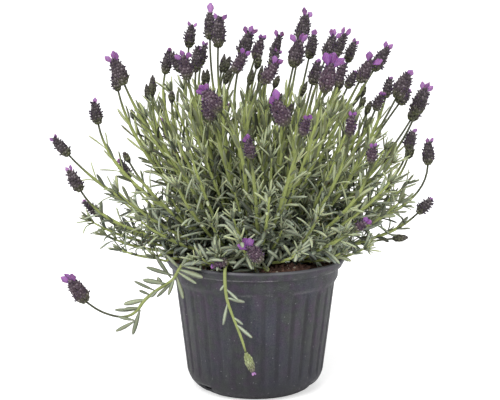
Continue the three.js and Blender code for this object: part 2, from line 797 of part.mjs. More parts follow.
// The rings of a stem above its root, turned so that each meets the one below without a twist.
function stemRings(stem, rootPoint) {
  const { points, width } = stem;
  const rings = [];
  const last = points.length - 1;
  const side = rootPoint.clone().sub(points[0]);
  for (let i = 1; i <= last; i += 1) {
    const after = points[Math.min(last, i + 1)];
    const atHead = stem.axis && i === last;
    const tangent = atHead ? stem.axis.clone() : after.clone().sub(points[i - 1]).normalize();
    side.addScaledVector(tangent, -side.dot(tangent)).normalize();
    const reach = width * (1.12 - 0.3 * i / last);
    const ring = [0, 1, 2].map((k) => points[i].clone().addScaledVector(
      side.clone().applyAxisAngle(tangent, 2 * Math.PI * k / 3),
      reach,
    ));
    rings.push({ ring, tangent, centre: points[i] });
    side.applyAxisAngle(tangent, radians(25));
  }
  return rings;
}

// Where a leaf has no room it opens by a few degrees more or less, and is a share of its length.
const leafTries = [[0, 1], [12, 0.9], [-8, 0.85], [22, 0.8], [8, 0.6]];

function chooseLeaves(stem, rings) {
  const chosen = new Map();
  for (const ring of stem.leafy) {
    const { ring: low, tangent, centre } = rings[ring - 1];
    const high = rings[ring].ring;
    const rise = 1 - stem.leafy.indexOf(ring) / stem.leafy.length;
    const skipped = Math.floor(stem.draw(0, stem.head ? 3 : 6));
    for (let side = 0; side < 3; side += 1) {
      const next = (side + 1) % 3;
      const outward = low[side].clone().lerp(low[next], 0.5).sub(centre).normalize();
      const above = high[side].clone().lerp(high[next], 0.5);
      const spread = stem.draw(...leafSpread) + leafSpread[0] * rise;
      const size = stem.draw(...leafSizes) * (0.72 + 0.28 * rise);
      if (side === skipped) continue;
      for (const [open, share] of leafTries) {
        const angle = radians(spread + open);
        const direction = tangent.clone().multiplyScalar(Math.cos(angle));
        direction.addScaledVector(outward, Math.sin(angle));
        const long = leafLength * size * share;
        const wide = leafWidth * (0.7 + 0.3 * share);
        const [from, to] = [low[side], low[next]];
        const blade = bladeShape(from, to, above, direction, long, wide, leafThickness, long * 0.12);
        if (leafIsClear(blade, wide, stem, ring)) {
          chosen.set((ring - 1) * 3 + side, blade);
          break;
        }
      }
    }
  }
  return chosen;
}

function growStem(skin, stem, root) {
  const rings = stemRings(stem, skin.points[root[0]]);
  const leaves = chooseLeaves(stem, rings);
  const laid = rings.map(({ ring }) => skin.ring(ring));
  skin.bridge(root, laid[0]);
  for (let i = 0; i < laid.length - 1; i += 1) {
    const [low, high] = [laid[i], laid[i + 1]];
    skin.bridge(low, high, (side) => leaves.has(i * 3 + side));
    for (let side = 0; side < 3; side += 1) {
      const blade = leaves.get(i * 3 + side);
      const next = (side + 1) % 3;
      if (blade) skin.sprout([low[side], low[next], high[next], high[side]], blade);
    }
  }
  const end = laid.at(-1);
  if (stem.own || !stem.head) {
    skin.cap(end, true);
    return;
  }
  const side = skin.points[end[0]].clone().sub(stem.end).normalize();
  skin.widen(end, growSpike(skin, stem.head, stem.number, side), true);
}

function makeBranch(branch) {
  const skin = new Skin();
  const { foot } = branch;
  const rings = [ringAt(foot, footRadius, footBottom, knotSides), ...knotRings(branch)].map((places) => (
    skin.ring(places)));
  skin.cap(rings[0], false);
  skin.cap(rings.at(-1), true);
  for (let level = -1; level < knotLevels.length - 1; level += 1) {
    const [low, high] = [rings[level + 1], rings[level + 2]];
    const stemAt = (side) => branch.stems.find(({ root }) => root.level === level && root.side === side);
    skin.bridge(low, high, stemAt);
    for (let side = 0; side < knotSides; side += 1) {
      const stem = stemAt(side);
      if (!stem) continue;
      const next = (side + 1) % knotSides;
      const root = skin.openRoot([low[side], low[next], high[next], high[side]], stem.root.top);
      growStem(skin, stem, root);
    }
  }
  return skin.geometry();
}

// Materials
const finishes = {
  pot: new THREE.MeshStandardMaterial({ color: 0x48464e, roughness: 0.5, metalness: 0 }),
  soil: new THREE.MeshStandardMaterial({ color: 0x3b2823, roughness: 0.95, metalness: 0 }),
  foliage: new THREE.MeshStandardMaterial({ color: 0x7c8a63, roughness: 0.75, metalness: 0 }),
  bloom: new THREE.MeshStandardMaterial({ color: 0x5a4560, roughness: 0.8, metalness: 0 }),
};

const plant = new THREE.Group();

function place(name, geometry, finish) {
  const mesh = new THREE.Mesh(geometry, finishes[finish]);
  mesh.name = name;
  plant.add(mesh);
}

place('pot', makePot(), 'pot');
place('soil', makeSoil(branches.map((branch) => branch.foot)), 'soil');

for (const branch of branches) place(branch.name, makeBranch(branch), 'foliage');

heads.slice(0, ownHeads).forEach((head, number) => {
  place(`head_${String(number + 1).padStart(2, '0')}`, makeHead(head, number), 'bloom');
});

export default plant;
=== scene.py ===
# A French lavender in its nursery pot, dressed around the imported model.
import math

import bmesh
import bpy
import numpy as np
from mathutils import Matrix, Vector, noise


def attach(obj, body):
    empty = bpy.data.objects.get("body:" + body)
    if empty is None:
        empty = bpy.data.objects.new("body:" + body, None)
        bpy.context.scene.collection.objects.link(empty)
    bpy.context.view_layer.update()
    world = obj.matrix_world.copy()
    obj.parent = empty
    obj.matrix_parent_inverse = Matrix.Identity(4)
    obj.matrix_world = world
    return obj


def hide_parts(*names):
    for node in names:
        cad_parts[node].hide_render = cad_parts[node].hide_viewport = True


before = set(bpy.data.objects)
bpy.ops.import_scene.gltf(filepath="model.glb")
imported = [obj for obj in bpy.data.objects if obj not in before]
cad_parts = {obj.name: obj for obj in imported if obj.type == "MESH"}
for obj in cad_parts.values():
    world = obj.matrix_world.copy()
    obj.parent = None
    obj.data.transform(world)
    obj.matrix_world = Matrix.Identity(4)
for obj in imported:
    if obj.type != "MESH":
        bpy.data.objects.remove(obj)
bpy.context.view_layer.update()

mm = 0.001
fullTurn = 2.0 * math.pi
up = np.array([0.0, 0.0, 1.0])


def unit(vector):
    vector = np.asarray(vector, dtype=float)
    return vector / np.maximum(np.linalg.norm(vector, axis=-1, keepdims=True), 1e-12)


def clamp(value):
    return min(1.0, max(0.0, value))


def between(low, high, share):
    return low * (1.0 - share) + high * share


def turned(first, second, turn):
    # A direction between two others that stand square to each other
    return first * math.cos(turn) + second * math.sin(turn)


def ringTurns(count):
    return [fullTurn * step / count for step in range(count)]


def standIn(name, data):
    # Puts a mesh, a light or a camera into the scene
    thing = bpy.data.objects.new(name, data)
    bpy.context.collection.objects.link(thing)
    return thing


# Camera: stands where the photograph was taken from
viewpoint = {"place": (-5.8, -1479.4, 461.9), "tiltDown": 9.639, "lens": 97.7}


def makeCamera():
    camera = bpy.data.cameras.new("camera")
    camera.lens = viewpoint["lens"]
    camera.sensor_width = 36.0
    camera.clip_end = 50.0
    stand = standIn("camera", camera)
    stand.location = [value * mm for value in viewpoint["place"]]
    stand.rotation_euler = (math.radians(90.0 - viewpoint["tiltDown"]), 0.0, 0.0)
    bpy.context.scene.camera = stand


makeCamera()
print("camera placed")


def rgb(red, green, blue):
    # Screen colour from 0 to 255, as the linear colour a shader wants
    def linear(value):
        share = value / 255.0
        return share / 12.92 if share <= 0.04045 else ((share + 0.055) / 1.055) ** 2.4
    return (linear(red), linear(green), linear(blue))


# A node tree, with short words for the nodes that are used most
class Graph:
    def __init__(self, tree):
        self.tree = tree

    def put(self, kind, **settings):
        node = self.tree.nodes.new(kind)
        for key, value in settings.items():
            if key in node.inputs:
                node.inputs[key].default_value = value
            else:
                setattr(node, key, value)
        return node

    def feed(self, socket, value):
        # Takes another socket, a number or a colour
        if isinstance(value, bpy.types.NodeSocket):
            self.tree.links.new(value, socket)
        else:
            socket.default_value = (*value, 1.0) if isinstance(value, tuple) else value

    def mix(self, share, first, second):
        node = self.put("ShaderNodeMix", data_type="RGBA")
        for index, value in ((0, share), (6, first), (7, second)):
            self.feed(node.inputs[index], value)
        return node.outputs[2]

    def reckon(self, operation, first, second=0.0, clamped=False):
        node = self.put("ShaderNodeMath", operation=operation, use_clamp=clamped)
        self.feed(node.inputs[0], first)
        self.feed(node.inputs[1], second)
        return node.outputs[0]

    def stretch(self, value, low, high, toLow=0.0, toHigh=1.0):
        node = self.put("ShaderNodeMapRange")
        for index, amount in enumerate((value, low, high, toLow, toHigh)):
            self.feed(node.inputs[index], amount)
        return node.outputs[0]

    def cloud(self, place, scale, detail=3.0, roughness=0.5):
        node = self.put("ShaderNodeTexNoise", Detail=detail, Roughness=roughness)
        self.feed(node.inputs["Vector"], place)
        self.feed(node.inputs["Scale"], scale)
        return node.outputs[0]


def newGroup(name, inputs, outputs):
    # A shared effect: the numbers it takes, with their usual values, and what it gives
    group = bpy.data.node_groups.new(name, "ShaderNodeTree")
    for label, value in inputs.items():
        socket = group.interface.new_socket(name=label, in_out="INPUT", socket_type="NodeSocketFloat")
        socket.default_value = value
    for label in outputs:
        group.interface.new_socket(name=label, in_out="OUTPUT", socket_type="NodeSocketFloat")
    graph = Graph(group)
    place = graph.put("ShaderNodeTexCoord").outputs["Object"]
    return graph, place, graph.put("NodeGroupInput").outputs, graph.put("NodeGroupOutput").inputs


# Shared effect: soft blotches and fine grain in the object's own space
def makeMottle():
    graph, place, given, result = newGroup("mottle", {"Scale": 60.0, "Grain": 600.0}, ("Blotch", "Speckle"))
    for size, effect, detail, roughness in (("Scale", "Blotch", 3.0, 0.55), ("Grain", "Speckle", 2.0, 0.6)):
        cloud = graph.cloud(place, given[size], detail, roughness)
        graph.feed(result[effect], graph.stretch(cloud, 0.3, 0.7))
    return graph.tree


# Shared effect: short pale down, as on leaves, stalks and florets
def makeDown():
    graph, place, given, result = newGroup("down", {"Size": 1400.0, "Cover": 0.5}, ("Hair", "Height"))
    hairs = graph.cloud(place, given["Size"], 4.0, 0.7)
    edge = graph.reckon("SUBTRACT", 0.75, graph.reckon("MULTIPLY", given["Cover"], 0.4))
    lifted = graph.reckon("SUBTRACT", hairs, edge)
    graph.feed(result["Hair"], graph.reckon("MULTIPLY", lifted, 6.0, clamped=True))
    graph.feed(result["Height"], hairs)
    return graph.tree


mottleGroup = makeMottle()
downGroup = makeDown()
print("shared effects ready")


# A finish is one material: coats of colour over a ground, with its mottle and its down
class Finish(Graph):
    def __init__(self, name, ground, mottle, down=None):
        self.material = bpy.data.materials.new(name)
        self.material.use_nodes = True
        super().__init__(self.material.node_tree)
        self.colour = ground
        self.blotch, self.speckle = self.mottle(*mottle)
        self.grain = self.speckle
        if down:
            size, cover = down
            hairs = self.put("ShaderNodeGroup", node_tree=downGroup, Size=size, Cover=cover).outputs
            self.hair, self.down = hairs["Hair"], hairs["Height"]

    def mottle(self, scale, grain):
        outputs = self.put("ShaderNodeGroup", node_tree=mottleGroup, Scale=scale, Grain=grain).outputs
        return outputs["Blotch"], outputs["Speckle"]

    def tints(self):
        # The four numbers that the mesh carries at each point
        tint = self.put("ShaderNodeAttribute", attribute_name="tint")
        parts = self.put("ShaderNodeSeparateColor")
        self.feed(parts.inputs[0], tint.outputs["Color"])
        return (*parts.outputs, tint.outputs["Alpha"])

    def coat(self, colour, share, *span):
        # One number scales the share; two or four stretch it from one range to another
        if len(span) == 1:
            share = self.reckon("MULTIPLY", share, span[0])
        elif span:
            share = self.stretch(share, *span)
        self.colour = self.mix(share, self.colour, colour)

    def done(self, roughness, relief=None, strength=0.4, depth=0.0004, constants=None):
        # Roughness runs with the grain, and a height gives relief
        sockets = self.tree.nodes["Principled BSDF"].inputs
        self.feed(sockets["Base Color"], self.colour)
        self.feed(sockets["Roughness"], self.stretch(self.grain, 0.0, 1.0, *roughness))
        if relief:
            bump = self.put("ShaderNodeBump", Strength=strength, Distance=depth)
            self.feed(bump.inputs["Height"], relief)
            self.feed(sockets["Normal"], bump.outputs[0])
        for label, value in (constants or {}).items():
            sockets[label].default_value = value
        return self.material


# Points, faces, finishes and tints are gathered first and become one mesh at the end
class Batch:
    def __init__(self):
        self.points = []
        self.tints = []
        self.faces = []
        self.finishes = []
        self.count = 0

    def add(self, points, faces, finish, tint):
        points = np.asarray(points, dtype=float).reshape(-1, 3)
        self.points.append(points)
        self.tints.append(np.broadcast_to(np.asarray(tint, dtype=float), (len(points), 4)))
        for group in faces:
            group = np.asarray(group, dtype=int)
            self.faces.extend((group + self.count).tolist())
            self.finishes.extend([finish] * len(group))
        self.count += len(points)


def makePiece(name, batch, materials, node=None, smooth=True):
    points = np.concatenate(batch.points) * mm
    mesh = bpy.data.meshes.new(name)
    mesh.from_pydata(points.tolist(), [], batch.faces)
    for material in materials:
        mesh.materials.append(material)
    mesh.polygons.foreach_set("material_index", batch.finishes)
    mesh.polygons.foreach_set("use_smooth", [smooth] * len(batch.faces))
    tint = mesh.color_attributes.new("tint", "FLOAT_COLOR", "POINT")
    tint.data.foreach_set("color", np.concatenate(batch.tints).ravel())
    mesh.update()
    piece = standIn(name, mesh)
    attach(piece, "root")
    if node:
        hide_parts(node)
    return piece


def gridFaces(rings, sides, closed=True):
    # Quads between rings of points that follow each other in one list
    faces = []
    for ring in range(rings - 1):
        low, high = ring * sides, (ring + 1) * sides
        for side in range(sides if closed else sides - 1):
            follow = (side + 1) % sides
            faces.append((low + side, low + follow, high + follow, high + side))
    return np.array(faces)


def closedFaces(rings, sides, flipped=False):
    # The walls of a tube and the two ends that close it
    ends = [tuple(range(sides))[::-1], tuple((rings - 1) * sides + side for side in range(sides))]
    groups = [gridFaces(rings, sides), np.array(ends)]
    return [group[:, ::-1] for group in groups] if flipped else groups


def repeatFaces(groups, count, size):
    # The same faces for many forms of one size that follow each other
    offset = (np.arange(count) * size)[:, None, None]
    return [(group[None, :, :] + offset).reshape(-1, group.shape[1]) for group in groups]


def tubeFrames(path):
    # Tangents and two cross directions that turn as little as they can
    tangents = unit(np.gradient(path, axis=0))
    helper = np.array([1.0, 0.0, 0.0]) if abs(tangents[0][0]) < 0.8 else np.array([0.0, 1.0, 0.0])
    side = unit(helper - tangents[0] * helper.dot(tangents[0]))
    sides = []
    for tangent in tangents:
        side = unit(side - tangent * side.dot(tangent))
        sides.append(side)
    sides = np.array(sides)
    return tangents, sides, np.cross(tangents, sides)


def addTube(batch, path, radii, sides, finish, tints, square=0.0):
    path = np.asarray(path, dtype=float)
    _, across, beyond = tubeFrames(path)
    turns = np.array(ringTurns(sides))
    reach = np.asarray(radii)[:, None] * (1.0 + square * np.cos(4.0 * turns))
    ring = (path[:, None, :] + across[:, None, :] * (reach * np.cos(turns))[:, :, None]
            + beyond[:, None, :] * (reach * np.sin(turns))[:, :, None])
    tint = np.repeat(np.asarray(tints, dtype=float), sides, axis=0)
    batch.add(ring, closedFaces(len(path), sides), finish, tint)


# A blade is a closed thin form, ridged on top, with its edges rolled under
bladeForms = {
    "long": {
        "stations": (0.0, 0.12, 0.32, 0.56, 0.78, 0.93, 1.0),
        "widths": (0.36, 0.5, 0.82, 1.0, 0.92, 0.64, 0.26),
        "across": (-1.0, 0.0, 1.0, 0.0),
        "lift": (-1.0, 0.9, -1.0, -0.8),
    },
    "short": {
        "stations": (0.0, 0.35, 0.8, 1.0),
        "widths": (0.4, 0.95, 0.84, 0.26),
        "across": (-1.0, 0.0, 1.0),
        "lift": (-0.9, 0.9, -0.9),
    },
}
bladeThickness = 0.7


def addBlades(batch, form, blades, finish):
    # Each blade: foot, ahead, face, length, width, bend, twist, tone, shade
    if not blades:
        return
    stations, widths, across, lift = (np.array(numbers) for numbers in bladeForms[form].values())
    columns = [np.array(column) for column in zip(*blades)]
    foot, ahead, face = (column[:, None, :] for column in columns[:3])
    length, width, bend, twist, tone, shade = (column[:, None, None] for column in columns[3:])
    ahead = unit(ahead)
    face = unit(face - ahead * np.sum(face * ahead, axis=-1, keepdims=True))
    side = np.cross(ahead, face)
    bend = np.where(np.abs(bend) < 0.02, 0.02, bend)
    angle = bend * stations[:, None]
    along = length * np.sin(angle) / bend
    drop = -length * (1.0 - np.cos(angle)) / bend
    centre = foot + ahead * along + face * drop
    normal = ahead * np.sin(angle) + face * np.cos(angle)
    roll = twist * stations[:, None]
    wide = side * np.cos(roll) + normal * np.sin(roll)
    thick = normal * np.cos(roll) - side * np.sin(roll)
    half = width / 2.0 * widths[:, None]
    depth = bladeThickness * (0.35 + 0.65 * widths[:, None])
    points = (centre[:, :, None] + wide[:, :, None] * (half * across)[..., None]
              + thick[:, :, None] * (depth * lift)[..., None])
    count, rows, ring = points.shape[:3]
    middle = np.abs(across) < 0.1
    tint = np.zeros((count, rows, ring, 4))
    tint[..., 0] = tone
    # The shade tint: low values are painted shade, given to blades deep inside the bush
    tint[..., 1] = shade
    tint[..., 2] = middle & (lift > 0.0)
    tint[..., 3] = middle & (lift < -0.5)
    faces = repeatFaces(closedFaces(rows, ring, flipped=True), count, rows * ring)
    batch.add(points, faces, finish, tint.reshape(-1, 4))


class Stamps:
    # Places for one small form, gathered before they go into a batch together
    def __init__(self):
        self.rows = []

    def note(self, place, ahead, outward, size, tint):
        right = unit(np.cross(ahead, outward))
        self.rows.append((place, right, ahead, np.cross(right, ahead), size, tint))

    def put(self, batch, form, finish):
        # A form is its points, its groups of faces and the glow of each point, which goes into the second
        # tint; on the flower heads low glow is painted shade
        if not self.rows:
            return
        points, groups, glow = form
        columns = (np.array(column, dtype=float)[:, None, :] for column in zip(*self.rows))
        place, right, ahead, normal, size, tint = columns
        local = points * size
        spots = place + right * local[:, :, 0:1] + ahead * local[:, :, 1:2] + normal * local[:, :, 2:3]
        tint = np.repeat(tint, len(points), axis=1)
        tint[..., 1] = tint[..., 1] * 0.3 + glow * 0.7
        batch.add(spots, repeatFaces(groups, len(self.rows), len(points)), finish, tint.reshape(-1, 4))


print("tools ready")

# Flower heads by kind. A row holds the place of a head's foot (x, y, z), how many degrees it leans to
# the right, its length and its width in millimetres, and the number of its top bracts and their length.
headRows = {
    "bloom": [
        (70, -100, 339, 12, 29, 16, 3, 14), (31, -125, 308, -27, 27, 17, 2, 13),
        (-36, -105, 320, -37, 26, 16, 3, 9), (-70, -65, 349, -11, 24, 13, 3, 8),
        (7, -80, 346, 34, 25, 13, 2, 9), (-22, -76, 357, 27, 21, 12, 2, 7),
        (-5, -130, 275, -9, 20, 10, 2, 7), (46, -135, 298, 16, 19, 10, 2, 6),
        (-50, 25, 386, 0, 28, 13, 1, 13), (-40, -20, 380, 3, 30, 14, 2, 7), (-75, 60, 375, 7, 24, 12, 2, 6),
        (-101, 40, 347, 12, 26, 11, 1, 4), (-140, -30, 341, -22, 28, 16, 3, 10),
        (-172, 0, 295, -10, 23, 12, 1, 6), (-206, 10, 259, -42, 24, 12, 2, 5),
        (-190, -20, 224, -29, 25, 13, 2, 6), (-182, -60, 110, -32, 28, 17, 3, 12),
        (40, -35, 360, 13, 28, 16, 3, 10), (51, 50, 382, 11, 29, 15, 2, 11),
        (62, 90, 361, 13, 26, 13, 1, 9), (-15, -10, 368, 18, 28, 14, 3, 9),
        (-1, -46, 369, 19, 22, 11, 2, 6), (19, 60, 361, 18, 28, 11, 2, 8),
        (109, -50, 345, 27, 25, 13, 3, 11), (130, 20, 352, 32, 28, 14, 2, 8),
        (150, -35, 327, 26, 27, 17, 1, 7), (173, -15, 307, 20, 29, 16, 3, 9),
        (190, 0, 250, 1, 24, 13, 2, 7), (166, -12, 268, 15, 20, 12, 1, 6), (181, 10, 194, 44, 20, 11, 1, 4),
        (77, 15, 366, 20, 25, 13, 3, 9), (90, 65, 363, 23, 28, 12, 2, 10),
        (6, -114, 166, -37, 21, 14, 3, 12), (61, -20, 340, 15, 23, 13, 1, 6),
        (-45, -88, 308, -18, 22, 12, 1, 6), (84, -62, 342, 19, 24, 10, 1, 3),
        (106, 85, 357, 20, 23, 11, 2, 6), (145, 30, 321, 14, 21, 10, 1, 4),
        (128, -30, 313, 21, 17, 10, 2, 6), (-80, -5, 352, -27, 22, 11, 0, 0),
        (-65, 0, 352, 5, 26, 11, 1, 3), (-63, 95, 352, 11, 24, 9, 2, 5), (-152, 25, 329, -12, 21, 10, 0, 0),
        (96, -95, 293, 6, 22, 9, 2, 5), (118, -100, 266, 7, 17, 10, 2, 5),
        (-36, 150, 272, -6, 24, 13, 3, 9), (104, -96, 196, 52, 12, 9, 2, 7),
        (161, 40, 313, 36, 17, 13, 1, 4), (175, 45, 294, 31, 21, 14, 1, 3),
        (-172, 20, 189, -52, 25, 10, 1, 3), (17, 6, 358, 25, 16, 10, 2, 5), (100, 2, 334, 26, 19, 10, 1, 3),
        (-29, -96, 163, -112, 16, 8, 1, 3), (49, 158, 268, 12, 23, 12, 2, 8),
        (-101, 125, 262, -18, 22, 12, 2, 7), (109, 132, 255, 20, 22, 12, 2, 8),
        (4, 178, 222, 4, 23, 12, 1, 7), (149, 92, 236, 30, 21, 11, 2, 6),
        (-81, 165, 212, -24, 22, 12, 2, 6), (84, 170, 205, 26, 21, 11, 2, 6),
        (-146, 85, 222, -30, 21, 11, 1, 6),
    ],
    "slim": [
        (-111, -20, 327, 2, 23, 8), (-121, 60, 313, -7, 21, 7), (-58, 70, 331, -3, 18, 6),
        (-55, 112, 330, -4, 17, 6), (-39, 75, 345, 11, 22, 7), (-35, 40, 348, 21, 19, 8),
        (-34, 2, 338, 24, 20, 8), (-7, -30, 340, 13, 17, 7), (4, 62, 336, 13, 19, 6),
        (51, 35, 322, 23, 18, 6), (93, 22, 331, 18, 14, 6), (120, 50, 320, 13, 15, 7),
        (35, -42, 306, 12, 16, 7), (29, 120, 300, 8, 18, 7), (-66, 140, 290, -12, 18, 7),
    ],
    "bud": [
        (-133, -60, 261, -27, 13, 7), (-89, -40, 322, 1, 13, 7), (1, 30, 353, 18, 15, 8),
        (20, -18, 336, 21, 14, 7), (120, -8, 306, 21, 16, 7), (120, 72, 305, 26, 14, 7),
        (172, 40, 251, 19, 16, 10), (149, 62, 259, 53, 13, 7), (149, -30, 173, 84, 17, 8),
        (-136, 42, 295, -16, 12, 6), (-131, 92, 286, -12, 12, 6), (-10, -112, 68, 159, 23, 9),
    ],
}
ownHeads = 46  # the first heads, each a piece of its own


def listHeads():
    listed = []
    for kind, rows in headRows.items():
        for x, y, z, lean, length, width, *bracts in rows:
            tilt, away = math.radians(lean), math.radians(y * 0.12)
            listed.append({
                "kind": kind, "place": np.array([x, y, z], dtype=float), "lean": lean,
                "axis": unit([math.sin(tilt), math.sin(away), math.cos(tilt)]),
                "length": length, "width": width, "bracts": bracts or (0, 0),
            })
    return listed


heads = listHeads()

# First numbers of the random draws, so that every run grows the same plant
seeds = {
    "headStems": 300, "shoots": 600, "heads": 900, "fillers": 77, "crumbs": 11, "perlite": 12, "fibres": 13,
}

# Leafy shoots that carry no flower: where their tips stand
shootTips = [
    (-182, 0, 187), (-146, -24, 159), (-164, -6, 172), (-108, -48, 156), (-56, -98, 166),
    (-121, -70, 200), (-146, -52, 228), (-16, -118, 188), (44, -112, 176), (90, -72, 166),
    (64, -118, 214), (116, -60, 168), (154, -40, 214), (168, 14, 226), (-114, 8, 262),
    (142, -62, 240), (-81, -95, 240), (14, -128, 236), (-94, 96, 186), (-58, 128, 172),
    (6, 132, 184), (66, 124, 176), (120, 80, 188), (156, 52, 204), (-94, 104, 232),
    (46, 138, 226), (-26, 140, 216), (108, 108, 230), (-158, 52, 206), (8, 112, 262),
    (-110, 10, 314), (-91, -20, 332), (-76, -50, 337), (-106, 50, 302), (-70, -70, 316),
    (-63, -40, 303), (-86, 20, 297), (-58, 10, 301), (-116, -30, 305), (-128, 40, 293),
    (-68, -95, 279), (-53, -80, 272), (-84, -80, 277), (-62, 30, 324), (-46, -30, 324),
    (-32, 20, 315), (119, -10, 292), (103, -40, 306), (94, 20, 306), (117, -60, 274),
    (140, -20, 269), (135, 30, 274), (78, -70, 309), (93, -80, 293), (147, -30, 256),
    (71, 40, 306), (47, -40, 317), (11, -30, 314), (-6, 30, 312), (-20, -70, 307),
    (10, 0, 302), (17, 30, 305), (21, -20, 297), (4, 60, 307), (12, -45, 283),
    (-58, 20, 286), (-52, -30, 283), (-64, 50, 289), (7, -60, 274), (17, -70, 267),
]

# Stems that come over the rim, as given points
trailingRoute = [
    (-42, -32, 143), (-55, -46, 153), (-68, -61, 158), (-79, -69, 151), (-88, -68, 136), (-103, -63, 125),
    (-118, -62, 113), (-127, -62, 101), (-136, -62, 95), (-147, -62, 94), (-160, -61, 97), (-171, -60, 102),
]

hangingRoute = [
    (-22, -58, 143), (-27, -76, 154), (-31, -92, 158), (-32, -101, 144), (-30, -104, 125),
    (-25, -106, 109), (-19, -108, 94), (-14, -110, 81),
]

# The pot's and the soil's sizes that the plant has to keep clear of
potSizes = {"height": 150.0, "rim": 100.0, "collar": 92.4, "soil": 140.0}

# Cones of stems: how many stand in each circle, and how far they lean from upright
coneCircles = [(3, 15.0, 90.0), (7, 47.0, -90.0)]
coneTip = np.array([4.0, 0.0, potSizes["soil"] - 30.0])


def makeCones():
    cones = []
    for count, lean, firstTurn in coneCircles:
        for index in range(count):
            turn = math.radians(firstTurn + 360.0 * index / count)
            flat = math.sin(math.radians(lean))
            cones.append((flat * math.cos(turn), flat * math.sin(turn), math.cos(math.radians(lean))))
    return np.array(cones)


cones = makeCones()
branchFeet = [coneTip + cone * (potSizes["soil"] - coneTip[2]) / cone[2] for cone in cones]
branchNames = [f"branch_{number + 1:02d}" for number in range(len(cones))]
branchNames += ["branch_trailing", "branch_hanging"]
trailing, hanging = len(cones), len(cones) + 1


def branchOf(place):
    direction = unit(np.asarray(place, dtype=float) - coneTip)
    return int(np.argmax(cones @ direction))


looseStems = {
    "bloom": {"branch": trailing, "route": trailingRoute, "bare": 58.0},
    "bud": {"branch": hanging, "route": hangingRoute, "bare": 8.0},
}


def pulledCurve(start, pull, push, end, count):
    share = np.linspace(0.0, 1.0, count)[:, None]
    rest = 1.0 - share
    return (start * rest ** 3 + pull * 3.0 * rest ** 2 * share
            + push * 3.0 * rest * share ** 2 + end * share ** 3)


def smoothRoute(points, steps):
    # A curve that runs smoothly through given points
    points = np.asarray(points, dtype=float)
    held = np.vstack([2.0 * points[0] - points[1], points, 2.0 * points[-1] - points[-2]])
    places = []
    for index in range(1, len(held) - 2):
        before, here, after, beyond = held[index - 1:index + 3]
        for step in range(steps):
            share = step / steps
            turnIn = (2.0 * before - 5.0 * here + 4.0 * after - beyond) * share ** 2
            turnOut = (3.0 * here - before - 3.0 * after + beyond) * share ** 3
            places.append(0.5 * (2.0 * here + (after - before) * share + turnIn + turnOut))
    places.append(points[-1])
    return np.array(places)


def overTheRim(path):
    # Lifts a stem where it would cut through the rim
    path = path.copy()
    reach = np.hypot(path[:, 0], path[:, 1])
    lip = potSizes["height"] + 3.4 - 0.9 * np.maximum(0.0, np.abs(reach - 96.5) - 6.5)
    path[:, 2] = np.maximum(path[:, 2], lip)
    return path


def stemPath(foot, end, endDirection):
    start = np.array([foot[0], foot[1], potSizes["soil"] + 5.0])
    chord = end - start
    span = np.linalg.norm(chord)
    first = unit(chord * (1.25, 1.25, 1.0))
    curve = pulledCurve(start, start + first * span * 0.34, end - endDirection * span * 0.32, end, 22)
    return overTheRim(curve)


# Every stem: its branch, its path, the bare length at its end and its own random draw
stemLook = {
    "footRadius": 2.3,
    "middleRadius": 1.75,
    "stalkRadius": 1.12,
    "sides": 7,
    "bareLeast": (20.0, 36.0),
    "bareMost": 62.0,
    "leafTop": 322.0,
    "bareStray": 8.0,
    "longBareHeads": (25, 26, 27, 47, 48),
    "longBare": (46.0, 54.0),
    "step": (11.5, 17.0),
    "hangingShare": 0.74,
}


def makeStems():
    look = stemLook
    stems = []
    for number, head in enumerate(heads):
        draw = np.random.default_rng(seeds["headStems"] + number)
        end = head["place"]
        bare = draw.uniform(*look["bareLeast"])
        stray = draw.uniform(-look["bareStray"], look["bareStray"])
        bare = min(look["bareMost"], max(bare, end[2] - look["leafTop"] + stray))
        if number in look["longBareHeads"]:
            bare = draw.uniform(*look["longBare"])
        if end[2] < potSizes["soil"]:
            loose = looseStems[head["kind"]]
            branch, bare = loose["branch"], loose["bare"]
            path = smoothRoute([*loose["route"], tuple(end)], 4)
        else:
            branch = branchOf(end)
            path = stemPath(branchFeet[branch], end, head["axis"])
        stems.append({"branch": branch, "path": path, "bare": bare, "draw": draw})
    for number, tip in enumerate(shootTips):
        draw = np.random.default_rng(seeds["shoots"] + number)
        end = np.array(tip, dtype=float)
        branch = branchOf(end)
        direction = unit(unit(end - branchFeet[branch]) + 0.35 * up)
        path = stemPath(branchFeet[branch], end, direction)
        stems.append({"branch": branch, "path": path, "bare": 0.0, "draw": draw})
    return stems


# The stretch inside the front of the rim where the soil shows: no leaf crosses the view of it
soilWindow = {"left": 4.0, "right": 60.0, "front": -150.0, "back": -42.0, "low": 150.5, "rise": 0.185}


def inSoilWindow(point):
    look = soilWindow
    x, y, z = point
    ceiling = look["low"] + look["rise"] * (look["back"] - y)
    return look["left"] < x < look["right"] and look["front"] < y < look["back"] and z < ceiling


# Short shoots that fill the middle of the plant and lie along the rim
fillerLook = {"count": 130, "reach": (40.0, 120.0), "lean": (15.0, 84.0), "goldenTurn": 0.381966}


def makeFillers():
    draw = np.random.default_rng(seeds["fillers"])
    fillers = []
    for index in range(fillerLook["count"]):
        turn = fullTurn * (index * fillerLook["goldenTurn"] + draw.uniform(-0.03, 0.03))
        lean = math.radians(draw.uniform(*fillerLook["lean"]))
        reach = draw.uniform(*fillerLook["reach"])
        flat = math.sin(lean)
        direction = np.array([flat * math.cos(turn), flat * math.sin(turn), math.cos(lean)])
        spot = coneTip + (20.0 * math.cos(turn), 20.0 * math.sin(turn), 34.0)
        end = spot + direction * reach
        branch = branchOf(end)
        foot = branchFeet[branch]
        middle = unit(end - foot)
        path = stemPath(foot, end, unit(middle + draw.uniform(0.1, 0.7) * up))
        if any(inSoilWindow(point) for point in path[len(path) // 3:]):
            continue
        fillers.append({"branch": branch, "path": path, "bare": 0.0, "draw": draw})
    return fillers


stems = makeStems() + makeFillers()
print("stems laid out:", len(stems))

